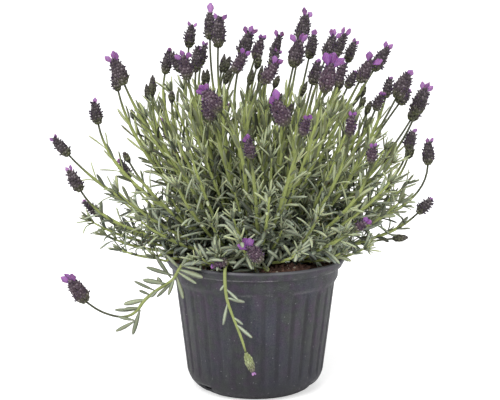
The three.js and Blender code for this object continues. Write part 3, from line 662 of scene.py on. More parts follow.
# Leaves along the stems, in crossed pairs with small tufts where they join
leafLook = {
    "lowSpread": (38.0, 70.0),
    "highSpread": (9.0, 25.0),
    "length": (19.0, 28.0),
    "lowWidth": (4.4, 6.2),
    "highWidth": (2.9, 4.3),
    "bend": (1.05, 0.1),
    "tuft": (1, 3),
    "tuftLength": (7.0, 14.0),
    "tuftWidth": (2.0, 3.1),
    "endLeaves": 6,
}


def overhangsRim(point):
    return math.hypot(point[0], point[1]) > potSizes["rim"] - 12.0 and point[2] < potSizes["height"] + 3.0


def clearOfPot(point):
    reach = math.hypot(point[0], point[1])
    if point[2] > potSizes["height"] + 0.8 or reach > potSizes["rim"] + 0.8:
        return True
    if reach < 90.0:
        return point[2] > potSizes["soil"] - 1.0
    return reach > potSizes["collar"] + 1.2 and point[2] < 135.0


def bladeIsClear(foot, ahead, face, length, bend, loose):
    # Looks at three points along a blade: none lies in the pot or in front of the open soil
    bent = abs(bend) > 0.02
    for share in (0.35, 0.7, 1.0):
        angle = bend * share
        along = length * (math.sin(angle) / bend if bent else share)
        drop = -length * (1.0 - math.cos(angle)) / bend if bent else 0.0
        point = foot + ahead * along + face * drop
        if not clearOfPot(point) or inSoilWindow(point):
            return False
        if not loose and overhangsRim(point):
            return False
    return True


# Leaves of the stem that hangs over the rim: height of the foot, degrees from straight down
# towards the right, length, width and bend
hangingLeaves = [
    (135.0, 50.0, 18.0, 3.8, -0.5), (123.0, 80.0, 20.0, 4.4, 0.6), (120.5, -13.0, 25.0, 3.8, 0.2),
    (104.5, 54.0, 13.5, 3.6, 0.4), (96.0, 52.0, 22.0, 4.4, -0.35), (141.0, -38.0, 9.0, 3.0, 0.3),
]


def dressHanging(stem, longBlades):
    path = stem["path"]
    outer = path[np.argmax(path[:, 2]):]
    for height, degrees, length, width, bend in hangingLeaves:
        foot = outer[np.argmin(np.abs(outer[:, 2] - height))]
        turn = math.radians(degrees)
        ahead = unit([math.sin(turn), -0.12, -math.cos(turn)])
        face = unit([-0.25 * math.cos(turn), -0.9, 0.3])
        longBlades.append((foot + (0.0, -0.6, 0.0), ahead, face, length, width, bend, 0.3, 0.25, 0.95))


# Leaves of the stem that trails over the rim: foot and tip on the plane it hangs in (to the right and
# up), width, bend and how light it is
trailingLeaves = [
    (-88, 141, -115, 149, 3.6, -0.35, 0.25), (-90, 138, -106, 160, 3.4, -0.5, 0.15),
    (-96, 131, -119, 135, 4.4, -0.25, 0.5), (-108, 123, -129, 132, 2.8, -0.5, 0.2),
    (-118, 113, -140, 108, 4.4, -0.2, 0.8), (-113, 118, -124, 123, 2.6, -0.3, 0.2),
    (-127, 102, -150, 100, 3.2, -0.7, 0.3), (-125, 104, -141, 103, 3.0, 0.3, 0.35),
    (-124, 102, -132, 76, 3.6, 0.15, 0.3), (-130, 89, -149, 77, 3.4, -0.7, 0.45),
    (-130, 90, -147, 93, 3.0, -0.7, 0.4), (-88, 134, -104, 118, 2.8, -0.2, 0.15),
    (-80, 147, -58, 143, 4.8, 0.35, 0.8), (-84, 140, -77, 122, 3.8, 0.2, 0.5),
    (-98, 128, -104, 138, 3.0, 0.3, 0.6), (-104, 124, -112, 117, 2.6, 0.3, 0.5),
    (-79, 151, -63, 159, 3.2, 0.4, 0.9), (-79, 151, -72, 165, 3.0, -0.4, 0.7),
    (-81, 149, -94, 162, 3.0, -0.4, 0.6), (-83, 145, -65, 137, 3.0, 0.4, 0.8),
    (-86, 139, -93, 121, 2.8, 0.3, 0.5), (-77, 151, -59, 151, 3.0, 0.3, 1.0),
]
trailingLook = {"longer": 1.04, "wider": 1.45, "flatter": 0.5, "tone": 0.45, "darkest": 0.1, "lighter": 0.4}


def dressTrailing(stem, longBlades):
    look = trailingLook
    for x, z, tipX, tipZ, width, bend, light in trailingLeaves:
        foot = stem["path"][np.argmin(np.hypot(stem["path"][:, 0] - x, stem["path"][:, 2] - z))]
        foot = np.array([x, foot[1] - 0.8, z])
        reach = np.array([tipX, foot[1] - (20.0 if tipX > x else 3.0), tipZ]) - foot
        length = float(np.linalg.norm(reach))
        face = unit(np.cross(unit(reach), [0.0, 1.0, 0.0]) * -0.3 * np.sign(bend) + (0.0, -1.0, 0.0))
        shade = look["darkest"] + look["lighter"] * light
        longBlades.append((foot, unit(reach), face, length * look["longer"], width * look["wider"],
                           abs(bend) * look["flatter"], 0.0, look["tone"], shade))


def branchOff(tangent, outward, angle):
    # Where a blade that leaves a stem at an angle points, and which way its upper side faces
    return turned(tangent, outward, angle), tangent * math.sin(angle) - outward * math.cos(angle)


def addLeaf(joint, outward, draw, longBlades):
    # One long leaf at a joint of the stem: gives back its foot, its spread and its tone
    look = leafLook
    height, upper, tangent = joint["height"], joint["upper"], joint["tangent"]
    low, high = draw.uniform(*look["lowSpread"]), draw.uniform(*look["highSpread"])
    spread = math.radians(between(low, high, upper))
    swell = 0.8 + 0.3 * math.sin(math.pi * min(1.0, 0.2 + height * 0.7))
    length = draw.uniform(*look["length"]) * swell
    width = between(draw.uniform(*look["lowWidth"]), draw.uniform(*look["highWidth"]), upper)
    bend = draw.normal(between(*look["bend"], upper), 0.45 - 0.25 * upper)
    ahead, face = branchOff(tangent, outward, spread)
    face = unit(face + up * 0.35 - (0.0, 0.7 * joint["loose"], 0.0))
    tone = np.clip(-0.1 + 1.1 * upper + draw.normal(0.0, 0.14), 0.0, 1.0)
    # Painted shade: leaves low on their stems, deep inside the bush, get a low shade and are darkened; the
    # rest is random
    shade = joint["depth"] - 0.25 * upper + draw.normal(0.0, 0.28 + 0.14 * upper)
    foot = joint["spot"] + outward * 0.9
    if bladeIsClear(foot, ahead, face, length, bend, joint["loose"]):
        twist = draw.normal(0.0, 0.5)
        longBlades.append((foot, ahead, face, length, width, bend, twist, tone, clamp(shade)))
    return foot, spread, tone


def addTuft(joint, outward, foot, spread, tone, draw, shortBlades):
    # Small leaves in the corner between a long leaf and the stem, fewer of them high up and low down
    look = leafLook
    height, upper, tangent = joint["height"], joint["upper"], joint["tangent"]
    count = draw.integers(*look["tuft"], endpoint=True)
    count = max(0, count - (3 if upper > 0.62 else 2 if height < 0.3 else 1 if height < 0.5 else 0))
    beside = unit(np.cross(tangent, outward))
    for _ in range(count):
        tilt = spread * draw.uniform(0.25, 1.0)
        lean = unit(turned(outward, beside, draw.normal(0.0, 0.75)))
        ahead, face = branchOff(tangent, lean, tilt)
        length = draw.uniform(*look["tuftLength"])
        width = draw.uniform(*look["tuftWidth"]) * (1.0 - 0.35 * upper)
        bend = draw.normal(0.25, 0.35)
        if bladeIsClear(foot, ahead, face, length, bend, joint["loose"]):
            # Painted shade, as on the long leaves
            shade = clamp(joint["depth"] * 0.8 + draw.normal(0.0, 0.3))
            twist = draw.normal(0.0, 0.4)
            shortBlades.append((foot, ahead, face, length, width, bend, twist, min(1.0, tone + 0.05), shade))


def closeShoot(end, tangent, side, beyond, turn, draw, shortBlades):
    # A closed tuft ends a shoot that has no flower
    for index in range(leafLook["endLeaves"]):
        outward = turned(side, beyond, turn + index * 2.4)
        ahead, face = branchOff(tangent, outward, math.radians(8.0 + 6.0 * index))
        length = 12.0 + 1.4 * index
        if bladeIsClear(end, ahead, face, length, 0.1, False):
            bend = draw.normal(0.1, 0.2)
            tone, shade = draw.uniform(0.35, 0.85), draw.uniform(0.4, 1.0)
            shortBlades.append((end, ahead, face, length, 3.0, bend, 0.0, tone, shade))


def dressStem(stem, longBlades, shortBlades):
    path, draw = stem["path"], stem["draw"]
    steps = np.linalg.norm(np.diff(path, axis=0), axis=1)
    run = np.concatenate([[0.0], np.cumsum(steps)])
    tangents, sides, beyond = tubeFrames(path)
    leafyEnd = run[-1] - stem["bare"]
    loose = stem["branch"] >= trailing
    if loose:
        (dressHanging if stem["branch"] == hanging else dressTrailing)(stem, longBlades)
        leafyEnd = run[np.argmax(path[:, 2])] - 6.0
    place = draw.uniform(6.0, 14.0)
    turn = draw.uniform(0.0, fullTurn)
    while place < leafyEnd + 1.0:
        index = min(len(run) - 2, int(np.searchsorted(run, place) - 1))
        part = (place - run[index]) / max(run[index + 1] - run[index], 1e-6)
        spot = between(path[index], path[index + 1], part)
        height = min(1.0, place / max(leafyEnd, 1.0))
        upper = height * 0.4 + clamp((spot[2] - 165.0) / 115.0) * 0.6
        joint = {
            "spot": spot, "tangent": unit(between(tangents[index], tangents[index + 1], part)),
            "height": height, "upper": upper, "depth": 0.1 + 0.9 * height, "loose": loose,
        }
        for mirrored in (0.0, math.pi):
            around = turn + mirrored + draw.normal(0.0, 0.2)
            outward = turned(sides[index], beyond[index], around)
            outward = unit(outward - joint["tangent"] * outward.dot(joint["tangent"]))
            foot, spread, tone = addLeaf(joint, outward, draw, longBlades)
            addTuft(joint, outward, foot, spread, tone, draw, shortBlades)
        turn += math.pi / 2.0 + draw.normal(0.0, 0.12)
        place += draw.uniform(*stemLook["step"]) * (0.75 + 0.45 * upper)
    if not stem["bare"]:
        closeShoot(path[-1], tangents[-1], sides[-1], beyond[-1], turn, draw, shortBlades)
    return run, run[-1]


def addStem(batch, stem, run, total):
    look = stemLook
    height = run / total
    bareFrom = 1.0 - stem["bare"] / total
    bare = np.clip((height - bareFrom) / 0.1, 0.0, 1.0) if stem["bare"] else np.zeros_like(height)
    radii = np.interp(height, (0.0, 0.15, bareFrom - 0.05, bareFrom + 0.08, 1.0), (
        look["footRadius"], look["middleRadius"], look["middleRadius"] * 1.1,
        look["stalkRadius"] * 1.1, look["stalkRadius"]))
    if not stem["bare"]:
        middle = look["middleRadius"]
        radii = np.interp(height, (0.0, 0.2, 0.7, 1.0), (middle, middle * 0.9, middle, 0.9))
    if stem["branch"] == hanging:
        radii = radii * np.interp(height, (0.5, 0.7), (1.0, look["hangingShare"]))
    wood = np.interp(run, (0.0, 18.0, 42.0), (1.0, 0.75, 0.0))
    shade = stem["draw"].uniform(0.0, 1.0)
    shade = np.full_like(run, 1.0 if stem["branch"] >= trailing else shade)
    tints = np.stack([wood, shade, bare, height], axis=1)
    addTube(batch, stem["path"], radii, look["sides"], 0, tints)


# Materials of the plant
greens = {
    "leafGrey": rgb(152, 162, 150),
    "leafBright": rgb(194, 203, 144),
    "leafDark": rgb(34, 41, 28),
    "leafPale": rgb(200, 207, 186),
    "stalk": rgb(74, 78, 50),
    "stem": rgb(184, 196, 116),
    "wood": rgb(84, 62, 50),
}


def makeLeafMaterial():
    finish = Finish("lavenderLeaf", greens["leafGrey"], (90.0, 900.0), (2600.0, 0.55))
    tone, shade, rib, under = finish.tints()
    finish.coat(greens["leafBright"], tone)
    finish.coat(greens["leafDark"], finish.blotch, 0.25)
    finish.coat(greens["leafPale"], finish.hair, 0.22)
    finish.coat(greens["leafPale"], under, 0.28)
    finish.coat(greens["leafDark"], rib, 0.0, 0.45, 0.5, 0.0)
    finish.coat(greens["leafPale"], rib, 0.6, 1.0, 0.0, 0.2)
    # Painted shade: blades with a low shade, deep inside the bush, go dark
    finish.coat(greens["leafDark"], shade, 0.0, 0.5, 0.9, 0.0)
    return finish.done((0.5, 0.72), finish.down, 0.3, constants={
        "Sheen Weight": 0.1, "Subsurface Weight": 0.05, "Subsurface Scale": 0.002})


def makeStemMaterial():
    finish = Finish("lavenderStem", greens["stem"], (160.0, 1200.0), (2600.0, 0.4))
    wood, shade, bare, _ = finish.tints()
    finish.coat(greens["stalk"], bare)
    finish.coat(greens["leafDark"], shade, 0.38)
    finish.coat(greens["leafPale"], finish.hair, 0.25)
    finish.coat(greens["wood"], wood)
    finish.coat(greens["leafDark"], finish.blotch, 0.25)
    return finish.done((0.5, 0.75), finish.speckle)


leafMaterial = makeLeafMaterial()
stemMaterial = makeStemMaterial()


def makeBranches():
    for index, name in enumerate(branchNames):
        batch = Batch()
        longBlades = []
        shortBlades = []
        for stem in stems:
            if stem["branch"] != index:
                continue
            run, total = dressStem(stem, longBlades, shortBlades)
            addStem(batch, stem, run, total)
        if index < trailing:
            foot = branchFeet[index]
            heights = np.array([129.0, 137.0, 141.0, 145.0, 148.5, 150.5])
            swell = np.array([3.4, 3.6, 4.4, 5.0, 4.2, 2.0])
            trunk = np.stack([np.full(6, foot[0]), np.full(6, foot[1]), heights], axis=1)
            addTube(batch, trunk, swell, 10, 0, [(1.0, 0.6, 0.0, 0.0)] * 6, square=0.05)
        addBlades(batch, "long", longBlades, 1)
        addBlades(batch, "short", shortBlades, 1)
        makePiece(name.replace("_", "") + "Foliage", batch, [stemMaterial, leafMaterial], name)
        print("foliage of", name, "leaves", len(longBlades) + len(shortBlades), "faces", len(batch.faces))


makeBranches()

# Flower heads
closedLook = {
    "body": 1.16, "sunk": 1.5, "lean": (2.0, 16.0), "stray": 3.0, "floret": 0.85, "scaleLean": (3.0, 12.0),
    "outline": ((0.0, 0.3), (0.12, 0.7), (0.35, 1.0), (0.6, 0.9), (0.84, 0.56), (1.0, 0.12)),
}
headLook = {
    "bloom": {
        "ranks": 8, "open": 0.55, "green": 0.0, "body": 0.9, "sunk": 1.1, "lean": (40.0, 48.0),
        "stray": 6.0, "floret": 1.0, "scaleLean": (16.0, 24.0),
        "outline": (
            (0.0, 0.42), (0.06, 0.7), (0.18, 0.93), (0.4, 1.0), (0.6, 0.94), (0.81, 0.72), (1.0, 0.38)),
    },
    "slim": {**closedLook, "ranks": 6, "open": 0.02, "green": 0.5},
    "bud": {**closedLook, "ranks": 5, "open": 0.0, "green": 0.8},
}
floretSizes = {
    "rowStep": 3.0,
    "calyxLength": 3.9,
    "calyxRadius": 1.3,
    "scaleWidth": 4.4,
    "scaleLength": 5.0,
    "hook": 2.1,
}
headColours = {
    # gap is the painted shade between florets, and the dark of the blotches
    "gap": rgb(34, 28, 34),
    "dark": rgb(68, 62, 63),
    "plum": rgb(96, 68, 88),
    "green": rgb(116, 124, 74),
    "fresh": rgb(170, 180, 134),
    "fleck": rgb(160, 148, 154),
    "corolla": rgb(30, 24, 34),
    "violet": rgb(142, 76, 162),
    "lilac": rgb(184, 138, 192),
    "deep": rgb(88, 42, 106),
}


def hookForm():
    # A small dark corolla that stands out of its calyx and curls up
    return ringForm(((0.0, 0.34, 0.0, 0.0), (0.55, 0.42, 0.0, 0.34), (1.15, 0.24, 0.0, 0.26)), 4)


def girth(look, share):
    return float(np.interp(share, *zip(*look["outline"])))


def ringForm(levels, sides):
    # A closed form along its second axis: how far along, radius, glow and lift of each ring
    points = []
    glow = []
    for along, radius, light, lift in levels:
        for turn in ringTurns(sides):
            points.append((radius * math.cos(turn), along, lift - radius * math.sin(turn)))
            glow.append(light)
    return np.array(points), closedFaces(len(levels), sides), np.array(glow)


def scaleForm():
    # A thin pointed scale, hollow towards the spike, with pale edges and painted shade at its foot and
    # underneath
    points = []
    glow = []
    for along, half in ((0.0, 0.6), (0.4, 1.0), (0.75, 0.7), (1.0, 0.06)):
        for across, lift, light in ((-1.0, -0.2, 0.9), (0.0, 0.1, 0.3), (1.0, -0.2, 0.9), (0.0, -0.1, 0.0)):
            points.append((across * half * 0.5, along, lift * half))
            glow.append(light * (0.25 + 0.75 * along))
    return np.array(points), closedFaces(4, 4), np.array(glow)


# The calyx's glow runs from its foot, painted in shade, to its pale mouth
calyxShape = ringForm(
    ((0.0, 0.6, 0.0, 0.0), (0.4, 1.0, 0.35, 0.0), (0.82, 0.92, 0.75, 0.0), (1.0, 0.5, 1.0, 0.0)), 5)
hookShape = hookForm()
scaleShape = scaleForm()


def addHead(batch, head, number):
    look = headLook[head["kind"]]
    base, axis, length, width = head["place"], head["axis"], head["length"], head["width"]
    draw = np.random.default_rng(seeds["heads"] + number)
    side = unit(np.cross([0.0, 1.0, 0.0], axis))
    depth = np.cross(axis, side)
    # front: how near the front of the bush a head stands; the florets use it for painted light, lighter in
    # front and darker behind
    front = float(clamp((-base[1] - 10.0) / 90.0))
    droops = head["lean"] > 150
    green = 1.0 if droops else min(0.95, look["green"] * draw.uniform(0.6, 1.2))
    body = width / 2.0 * (1.12 if droops else look["body"])

    # The core that the florets stand on, painted near black as shade between the florets
    rings, sides = 8, 10
    core = []
    coreTint = []
    for share in (ring / (rings - 1) for ring in range(rings)):
        reach = body * 0.86 * girth(look, share)
        for turn in ringTurns(sides):
            core.append(base + axis * length * share * 0.97 + turned(side, depth, turn) * reach)
            coreTint.append((share, 0.0, front, green))
    batch.add(core, closedFaces(rings, sides, flipped=True), 0, coreTint)

    rows = max(3, round(length / floretSizes["rowStep"]))
    ranks = look["ranks"]
    calyces, hooks, scales = Stamps(), Stamps(), Stamps()
    quarter = draw.uniform(-0.25, 0.25)
    grow = (width / 13.0) ** 0.5
    for level in range(rows):
        share = (level + 0.25) / rows
        reach = body * girth(look, share)
        for rank in range(ranks):
            turn = quarter + fullTurn * (rank + 0.3 * (level % 2)) / ranks + draw.normal(0.0, 0.1)
            outward = turned(side, depth, turn)
            along = length * share + draw.normal(0.0, 0.35)
            spot = base + axis * along + outward * (reach - look["sunk"] * grow)
            lean = look["lean"][0] - look["lean"][1] * share + draw.normal(0.0, look["stray"])
            ahead = turned(axis, outward, math.radians(lean))
            tint = (share, draw.uniform(), front, green)
            size = grow * draw.uniform(0.88, 1.1) * look["floret"]
            radius, long = floretSizes["calyxRadius"] * size, floretSizes["calyxLength"] * size
            calyces.note(spot, ahead, outward, (radius, long, radius), tint)
            if draw.uniform() < look["open"] * (1.0 if share > 0.1 else 0.5):
                hook = floretSizes["hook"] * draw.uniform(0.75, 1.2)
                curl = unit(ahead + outward * draw.uniform(0.5, 1.3))
                under = unit(outward - axis * 0.6)
                hooks.note(spot + ahead * long * 0.85, curl, under, (hook, hook, hook), tint)
            # A broad scale covers the gap between two florets
            outward = turned(side, depth, turn + math.pi / ranks)
            ahead = turned(axis, outward, math.radians(look["scaleLean"][0] - look["scaleLean"][1] * share))
            wide = floretSizes["scaleWidth"] * grow * (0.45 + 0.55 * girth(look, share))
            spot = base + axis * length * (share - 0.04) + outward * (reach - 0.3)
            long = min(floretSizes["scaleLength"] * grow, length * (1.03 - share))
            scales.note(spot, ahead, outward, (wide, long, wide), tint)
    calyces.put(batch, calyxShape, 0)
    hooks.put(batch, hookShape, 1)
    scales.put(batch, scaleShape, 0)
    if head["kind"] != "bloom":
        # A closed head ends in a few scales that meet in a point
        tips = Stamps()
        for index in range(5):
            outward = turned(side, depth, index * 1.257)
            spot = base + axis * length * 0.68 + outward * body * 0.62
            size = (width * 0.42, length * 0.3, width * 0.4)
            tint = (1.0, draw.uniform(), front, green * 0.4)
            tips.note(spot, unit(axis - outward * 0.36), outward, size, tint)
        tips.put(batch, scaleShape, 0)
    addBracts(batch, head, side, draw, front)
    if droops:
        # The hanging bud shows the pale tips of its first bracts
        for index in range(4):
            turn = index * 1.57 + 0.5
            outward = turned(side, depth, turn)
            addPetal(batch, {
                "root": base + axis * length * 0.84 + outward * 0.8, "long": 5.6, "wide": 3.2,
                "ahead": unit(axis + outward * 0.16), "normal": outward, "bend": 0.1,
                "phase": turn, "pale": 0.9,
            })


bractShape = {
    "stations": (0.0, 0.16, 0.34, 0.52, 0.7, 0.87, 1.0),
    "widths": (0.3, 0.32, 0.46, 0.74, 1.0, 1.0, 0.62),
    "columns": 7,
    "thickness": 0.2,
    "fans": {1: (0.0,), 2: (-19.0, 22.0), 3: (-31.0, 3.0, 32.0)},
}


def addPetal(batch, petal):
    # One thin crinkled sheet with a top, an underside and walls between them
    stations, widths = bractShape["stations"], bractShape["widths"]
    across = np.linspace(-1.0, 1.0, bractShape["columns"])
    ahead, root, phase = petal["ahead"], petal["root"], petal["phase"]
    normal = unit(petal["normal"] - ahead * ahead.dot(petal["normal"]))
    right = np.cross(ahead, normal)
    long, wide, bend = petal["long"], petal["wide"], petal["bend"]
    points = []
    tints = []
    for layer in (1.0, -1.0):
        for share, half in zip(stations, widths):
            angle = bend * share
            forward = ahead * math.cos(angle) + normal * math.sin(angle)
            facing = normal * math.cos(angle) - ahead * math.sin(angle)
            for u in across:
                crinkle = math.sin(u * 3.6 + phase) * 0.6
                crinkle += math.sin(u * 7.1 + share * 6.0 + phase * 2.0) * 0.35
                lift = crinkle * share * min(1.0, wide / 7.0) - 0.13 * wide * u * u * share
                lift += layer * bractShape["thickness"] * (1.0 - 0.6 * abs(u))
                trim = 1.0 - 0.16 * u * u * share
                points.append(root + forward * long * share * trim
                              + right * u * half * wide / 2.0 + facing * lift)
                tints.append((petal["pale"], share, u * 0.5 + 0.5, 1.0))
    rows, columns = len(stations), len(across)
    sheet = rows * columns
    top = gridFaces(rows, columns, closed=False)
    rim = ([index for index in range(columns)]
           + [step * columns + columns - 1 for step in range(1, rows)]
           + [(rows - 1) * columns + column for column in range(columns - 2, -1, -1)]
           + [step * columns for step in range(rows - 2, 0, -1)])
    walls = [(rim[k], rim[(k + 1) % len(rim)], rim[(k + 1) % len(rim)] + sheet, rim[k] + sheet)
             for k in range(len(rim))]
    batch.add(points, [top, top[:, ::-1] + sheet, np.array(walls)[:, ::-1]], 2, np.array(tints))


def addBracts(batch, head, side, draw, front):
    base, axis, length = head["place"], head["axis"], head["length"]
    count, size = head["bracts"]
    if not count:
        return
    viewer = unit(np.cross(side, axis))
    for index, fan in enumerate(bractShape["fans"][count]):
        swing = math.radians(fan + draw.normal(0.0, 6.0))
        back = 1.0 if index == 1 and count > 1 else -1.0
        tilt = math.radians(draw.uniform(2.0, 14.0)) * back
        twist = draw.uniform(-0.6, 0.6)
        wide = 1.4 + size * 0.46 if count > 1 else min(8.2, 3.4 + size * 0.45)
        addPetal(batch, {
            "root": base + axis * length * 0.85 + side * math.sin(swing) * 1.2 - viewer * 0.7 * back,
            "ahead": unit(turned(axis, side, swing) - viewer * math.sin(tilt)),
            "normal": turned(viewer, side, twist),
            "long": size * draw.uniform(0.84, 1.02) + length * 0.15 + 0.6,
            "wide": wide * draw.uniform(0.9, 1.1) * (1.0 + 0.25 * front),
            "bend": draw.normal(0.1, 0.22),
            "phase": draw.uniform(0.0, 6.28),
            "pale": draw.uniform(0.0, 0.3) + 0.4 * (1.0 - front),
        })


def makeFloretMaterial():
    look = headColours
    finish = Finish("lavenderFloret", look["dark"], (260.0, 1500.0), (1500.0, 0.5))
    share, glow, front, green = finish.tints()
    # Painted light and shade: heads at the front are lighter plum, heads further back stay dark grey
    finish.coat(look["plum"], front, 0.75)
    # Green at the foot of every head, and over most of a closed one
    fresh = finish.stretch(green, 0.96, 1.0)
    foot = finish.stretch(share, 0.0, 0.3, 0.7, 0.0)
    closed = finish.reckon("MULTIPLY", green, finish.stretch(share, 0.4, 0.9, 1.0, 0.15))
    leafGreen = finish.mix(fresh, look["green"], look["fresh"])
    finish.coat(leafGreen, finish.reckon("ADD", foot, closed, clamped=True))
    finish.coat(look["gap"], finish.blotch, 0.4)
    finish.coat(look["fleck"], finish.hair, 0.3)
    finish.coat(look["fleck"], glow, 0.5, 1.0, 0.0, 0.6)
    # Painted shade: where glow is low, at the feet of the florets and on the core, the colour goes to gap, or
    # to green on a green bud
    finish.coat(finish.mix(fresh, look["gap"], look["green"]), glow, 0.0, 0.42, 0.85, 0.0)
    return finish.done((0.65, 0.88), finish.down, 0.5, 0.0005, {
        "Sheen Weight": 0.1, "Specular IOR Level": 0.25})


def makeCorollaMaterial():
    finish = Finish("lavenderCorolla", headColours["corolla"], (500.0, 2000.0))
    finish.coat(headColours["deep"], finish.blotch, 0.5)
    return finish.done((0.5, 0.7))


def makeBractMaterial():
    lilac, deep = headColours["lilac"], headColours["deep"]
    finish = Finish("violetBract", headColours["violet"], (400.0, 2500.0))
    pale, share, across, _ = finish.tints()
    waves = finish.reckon("SINE", finish.reckon("MULTIPLY", across, 34.0))
    veins = finish.stretch(waves, 0.2, 1.0, 0.0, 0.6)
    border = finish.reckon("ABSOLUTE", finish.reckon("SUBTRACT", across, 0.5))
    finish.coat(lilac, pale)
    finish.coat(lilac, border, 0.0, 0.3, 0.35, 0.0)
    finish.coat(deep, share, 0.0, 0.45, 0.7, 0.0)
    finish.coat(deep, veins)
    finish.coat(deep, border, 0.38, 0.5, 0.0, 0.6)
    finish.coat(deep, finish.blotch, 0.25)
    return finish.done((0.45, 0.65), veins, 0.35, constants={
        "Subsurface Weight": 0.12, "Subsurface Scale": 0.002, "Sheen Weight": 0.08})


headMaterials = [makeFloretMaterial(), makeCorollaMaterial(), makeBractMaterial()]


def makeHeads():
    fused = {}
    faces = 0
    for number, head in enumerate(heads):
        if number < ownHeads:
            batch = Batch()
            addHead(batch, head, number)
            faces += len(batch.faces)
            makePiece(f"flowerHead{number + 1:02d}", batch, headMaterials, f"head_{number + 1:02d}")
        else:
            addHead(fused.setdefault(stems[number]["branch"], Batch()), head, number)
    for branch, batch in fused.items():
        faces += len(batch.faces)
        makePiece(branchNames[branch].replace("_", "") + "Heads", batch, headMaterials)
    print("flower heads made, faces", faces)


makeHeads()

# Pot: a turned wall with flutes pressed in, a flared lip and notches at its foot
potLook = {
    "segments": 320,
    "flutes": 32,
    "fluteDepth": 0.95,
    "fluteLow": 21.0,
    "fluteHigh": 121.5,
    "notchTurns": (98.0, 219.5, 336.5),
    "notchSpan": 19.0,
    "notchHeight": 12.5,
    "notchInner": 58.5,
    "notchOuter": 82.0,
    "rubbedTurn": 284.0,
    "colour": rgb(36, 36, 43),
    "purple": rgb(54, 35, 60),
    "blue": rgb(34, 39, 60),
    "green": rgb(45, 51, 46),
    "dark": rgb(18, 15, 22),
    # dust and scuff also colour the painted highlights on the lip
    "dustAndHighlight": rgb(98, 98, 103),
    "scuffAndHighlight": rgb(140, 138, 142),
}


def potProfile():
    # From the middle of the underside, out and up, over the lip and down inside
    outline = [(0.0, 0.0), (30.0, 0.0), (52.0, 0.0), (56.0, 0.1), (59.0, 0.7), (61.4, 1.8), (65.4, 4.2)]
    outline += [(69.3, 7.5), (72.3, 11.2), (74.4, 15.2), (75.6, 18.4)]
    wallStart = len(outline)
    for share in np.linspace(0.0, 1.0, 16):
        outline.append((76.3 + 12.1 * share, 21.0 + 99.0 * share))
    wallEnd = len(outline)
    outline += [(88.6, 121.2), (89.3, 122.6), (90.4, 124.6), (91.4, 126.2), (91.9, 127.4)]
    outline += [(92.1, 130.0), (92.3, 134.0), (92.6, 136.6), (93.6, 138.4), (94.9, 139.3)]
    outline += [(95.9, 139.5), (96.4, 139.9), (96.6, 140.6), (96.9, 141.4)]
    outline += [(98.2, 143.2), (99.3, 145.2), (99.9, 147.0), (99.9, 148.2), (99.4, 149.2), (98.6, 149.8)]
    outline += [(97.6, 150.0), (96.8, 149.7), (96.0, 148.6), (94.6, 145.8), (92.4, 142.0), (90.7, 139.2)]
    outline += [(88.6, 130.0), (86.5, 121.0)]
    outline += [(80.4, 71.0), (74.0, 18.0), (69.6, 11.0), (62.0, 5.2), (56.0, 2.4), (30.0, 2.4), (0.0, 2.4)]
    return outline, wallStart, wallEnd


def fluteDent(turn, height):
    # Narrow channels between flat ribs, with rounded ends
    phase = (turn / (fullTurn) * potLook["flutes"]) % 1.0
    away = abs(phase - 0.5) * 2.0
    ending = clamp((potLook["fluteHigh"] - height) / 5.0)
    channel = clamp((0.16 + 0.2 * math.sqrt(ending) - away) / 0.16)
    channel = channel * channel * (3.0 - 2.0 * channel)
    fade = min(clamp((height - potLook["fluteLow"]) / 5.0), ending * 2.0)
    return channel * fade


def makePotMaterial():
    look = potLook
    finish = Finish("nurseryPot", look["green"], (38.0, 420.0))
    # The tints: the worn seam under the collar with a painted highlight on the lip's lower edge, a painted
    # highlight on the lip's top, painted shade in the flutes, and the height up the wall
    seamWearAndLipHighlight, lip, grooveShade, rise = finish.tints()
    fineBlotch, fineSpeckle = finish.mottle(170.0, 1000.0)
    place = finish.put("ShaderNodeTexCoord").outputs["Object"]
    # Long upright streaks that the mould leaves
    squeeze = finish.put("ShaderNodeMapping", Scale=(120.0, 120.0, 7.0))
    finish.feed(squeeze.inputs["Vector"], place)
    streak = finish.stretch(finish.cloud(squeeze.outputs[0], 1.0, 3.0, 0.6), 0.42, 0.7)
    # Specks of dust and lime, small and far between
    specks = finish.put("ShaderNodeTexVoronoi", Scale=190.0)
    finish.feed(specks.inputs["Vector"], place)
    speck = finish.stretch(specks.outputs["Distance"], 0.08, 0.14, 1.0, 0.0)
    speck = finish.reckon("MULTIPLY", speck, finish.stretch(finish.speckle, 0.46, 0.62))
    # Small patches that lean to purple, blue and green
    tinge = finish.cloud(place, 95.0)
    finish.coat(look["colour"], tinge, 0.36, 0.5)
    finish.coat(look["purple"], tinge, 0.5, 0.64, 0.0, 0.9)
    finish.coat(look["blue"], finish.cloud(place, 18.0, 2.0), 0.45, 0.65, 0.0, 0.6)
    finish.coat(look["dustAndHighlight"], streak, 0.2)
    finish.coat(look["dustAndHighlight"], fineSpeckle, 0.35, 0.75, 0.0, 0.3)
    # Painted shade: the wall darkens towards its foot
    finish.coat(look["dark"], rise, 0.0, 0.6, 0.65, 0.05)
    # Painted shade in the flute grooves
    finish.coat(look["dark"], grooveShade, 0.5)
    finish.coat(look["scuffAndHighlight"], speck, 0.6)
    # The worn line under the collar, a painted highlight along the lower edge of the lip, and a painted
    # highlight over the top of the lip
    scuffAndLipHighlight = finish.reckon("MULTIPLY", seamWearAndLipHighlight, finish.stretch(finish.blotch, 0.4, 0.6))
    scuffAndLipHighlight = finish.reckon("MULTIPLY", scuffAndLipHighlight, finish.stretch(fineSpeckle, 0.3, 0.7, 0.2, 0.9))
    finish.coat(look["scuffAndHighlight"], scuffAndLipHighlight)
    finish.coat(look["dustAndHighlight"], lip, 0.7)
    finish.grain = fineBlotch
    return finish.done((0.38, 0.52), finish.reckon("ADD", fineSpeckle, streak), 0.25)


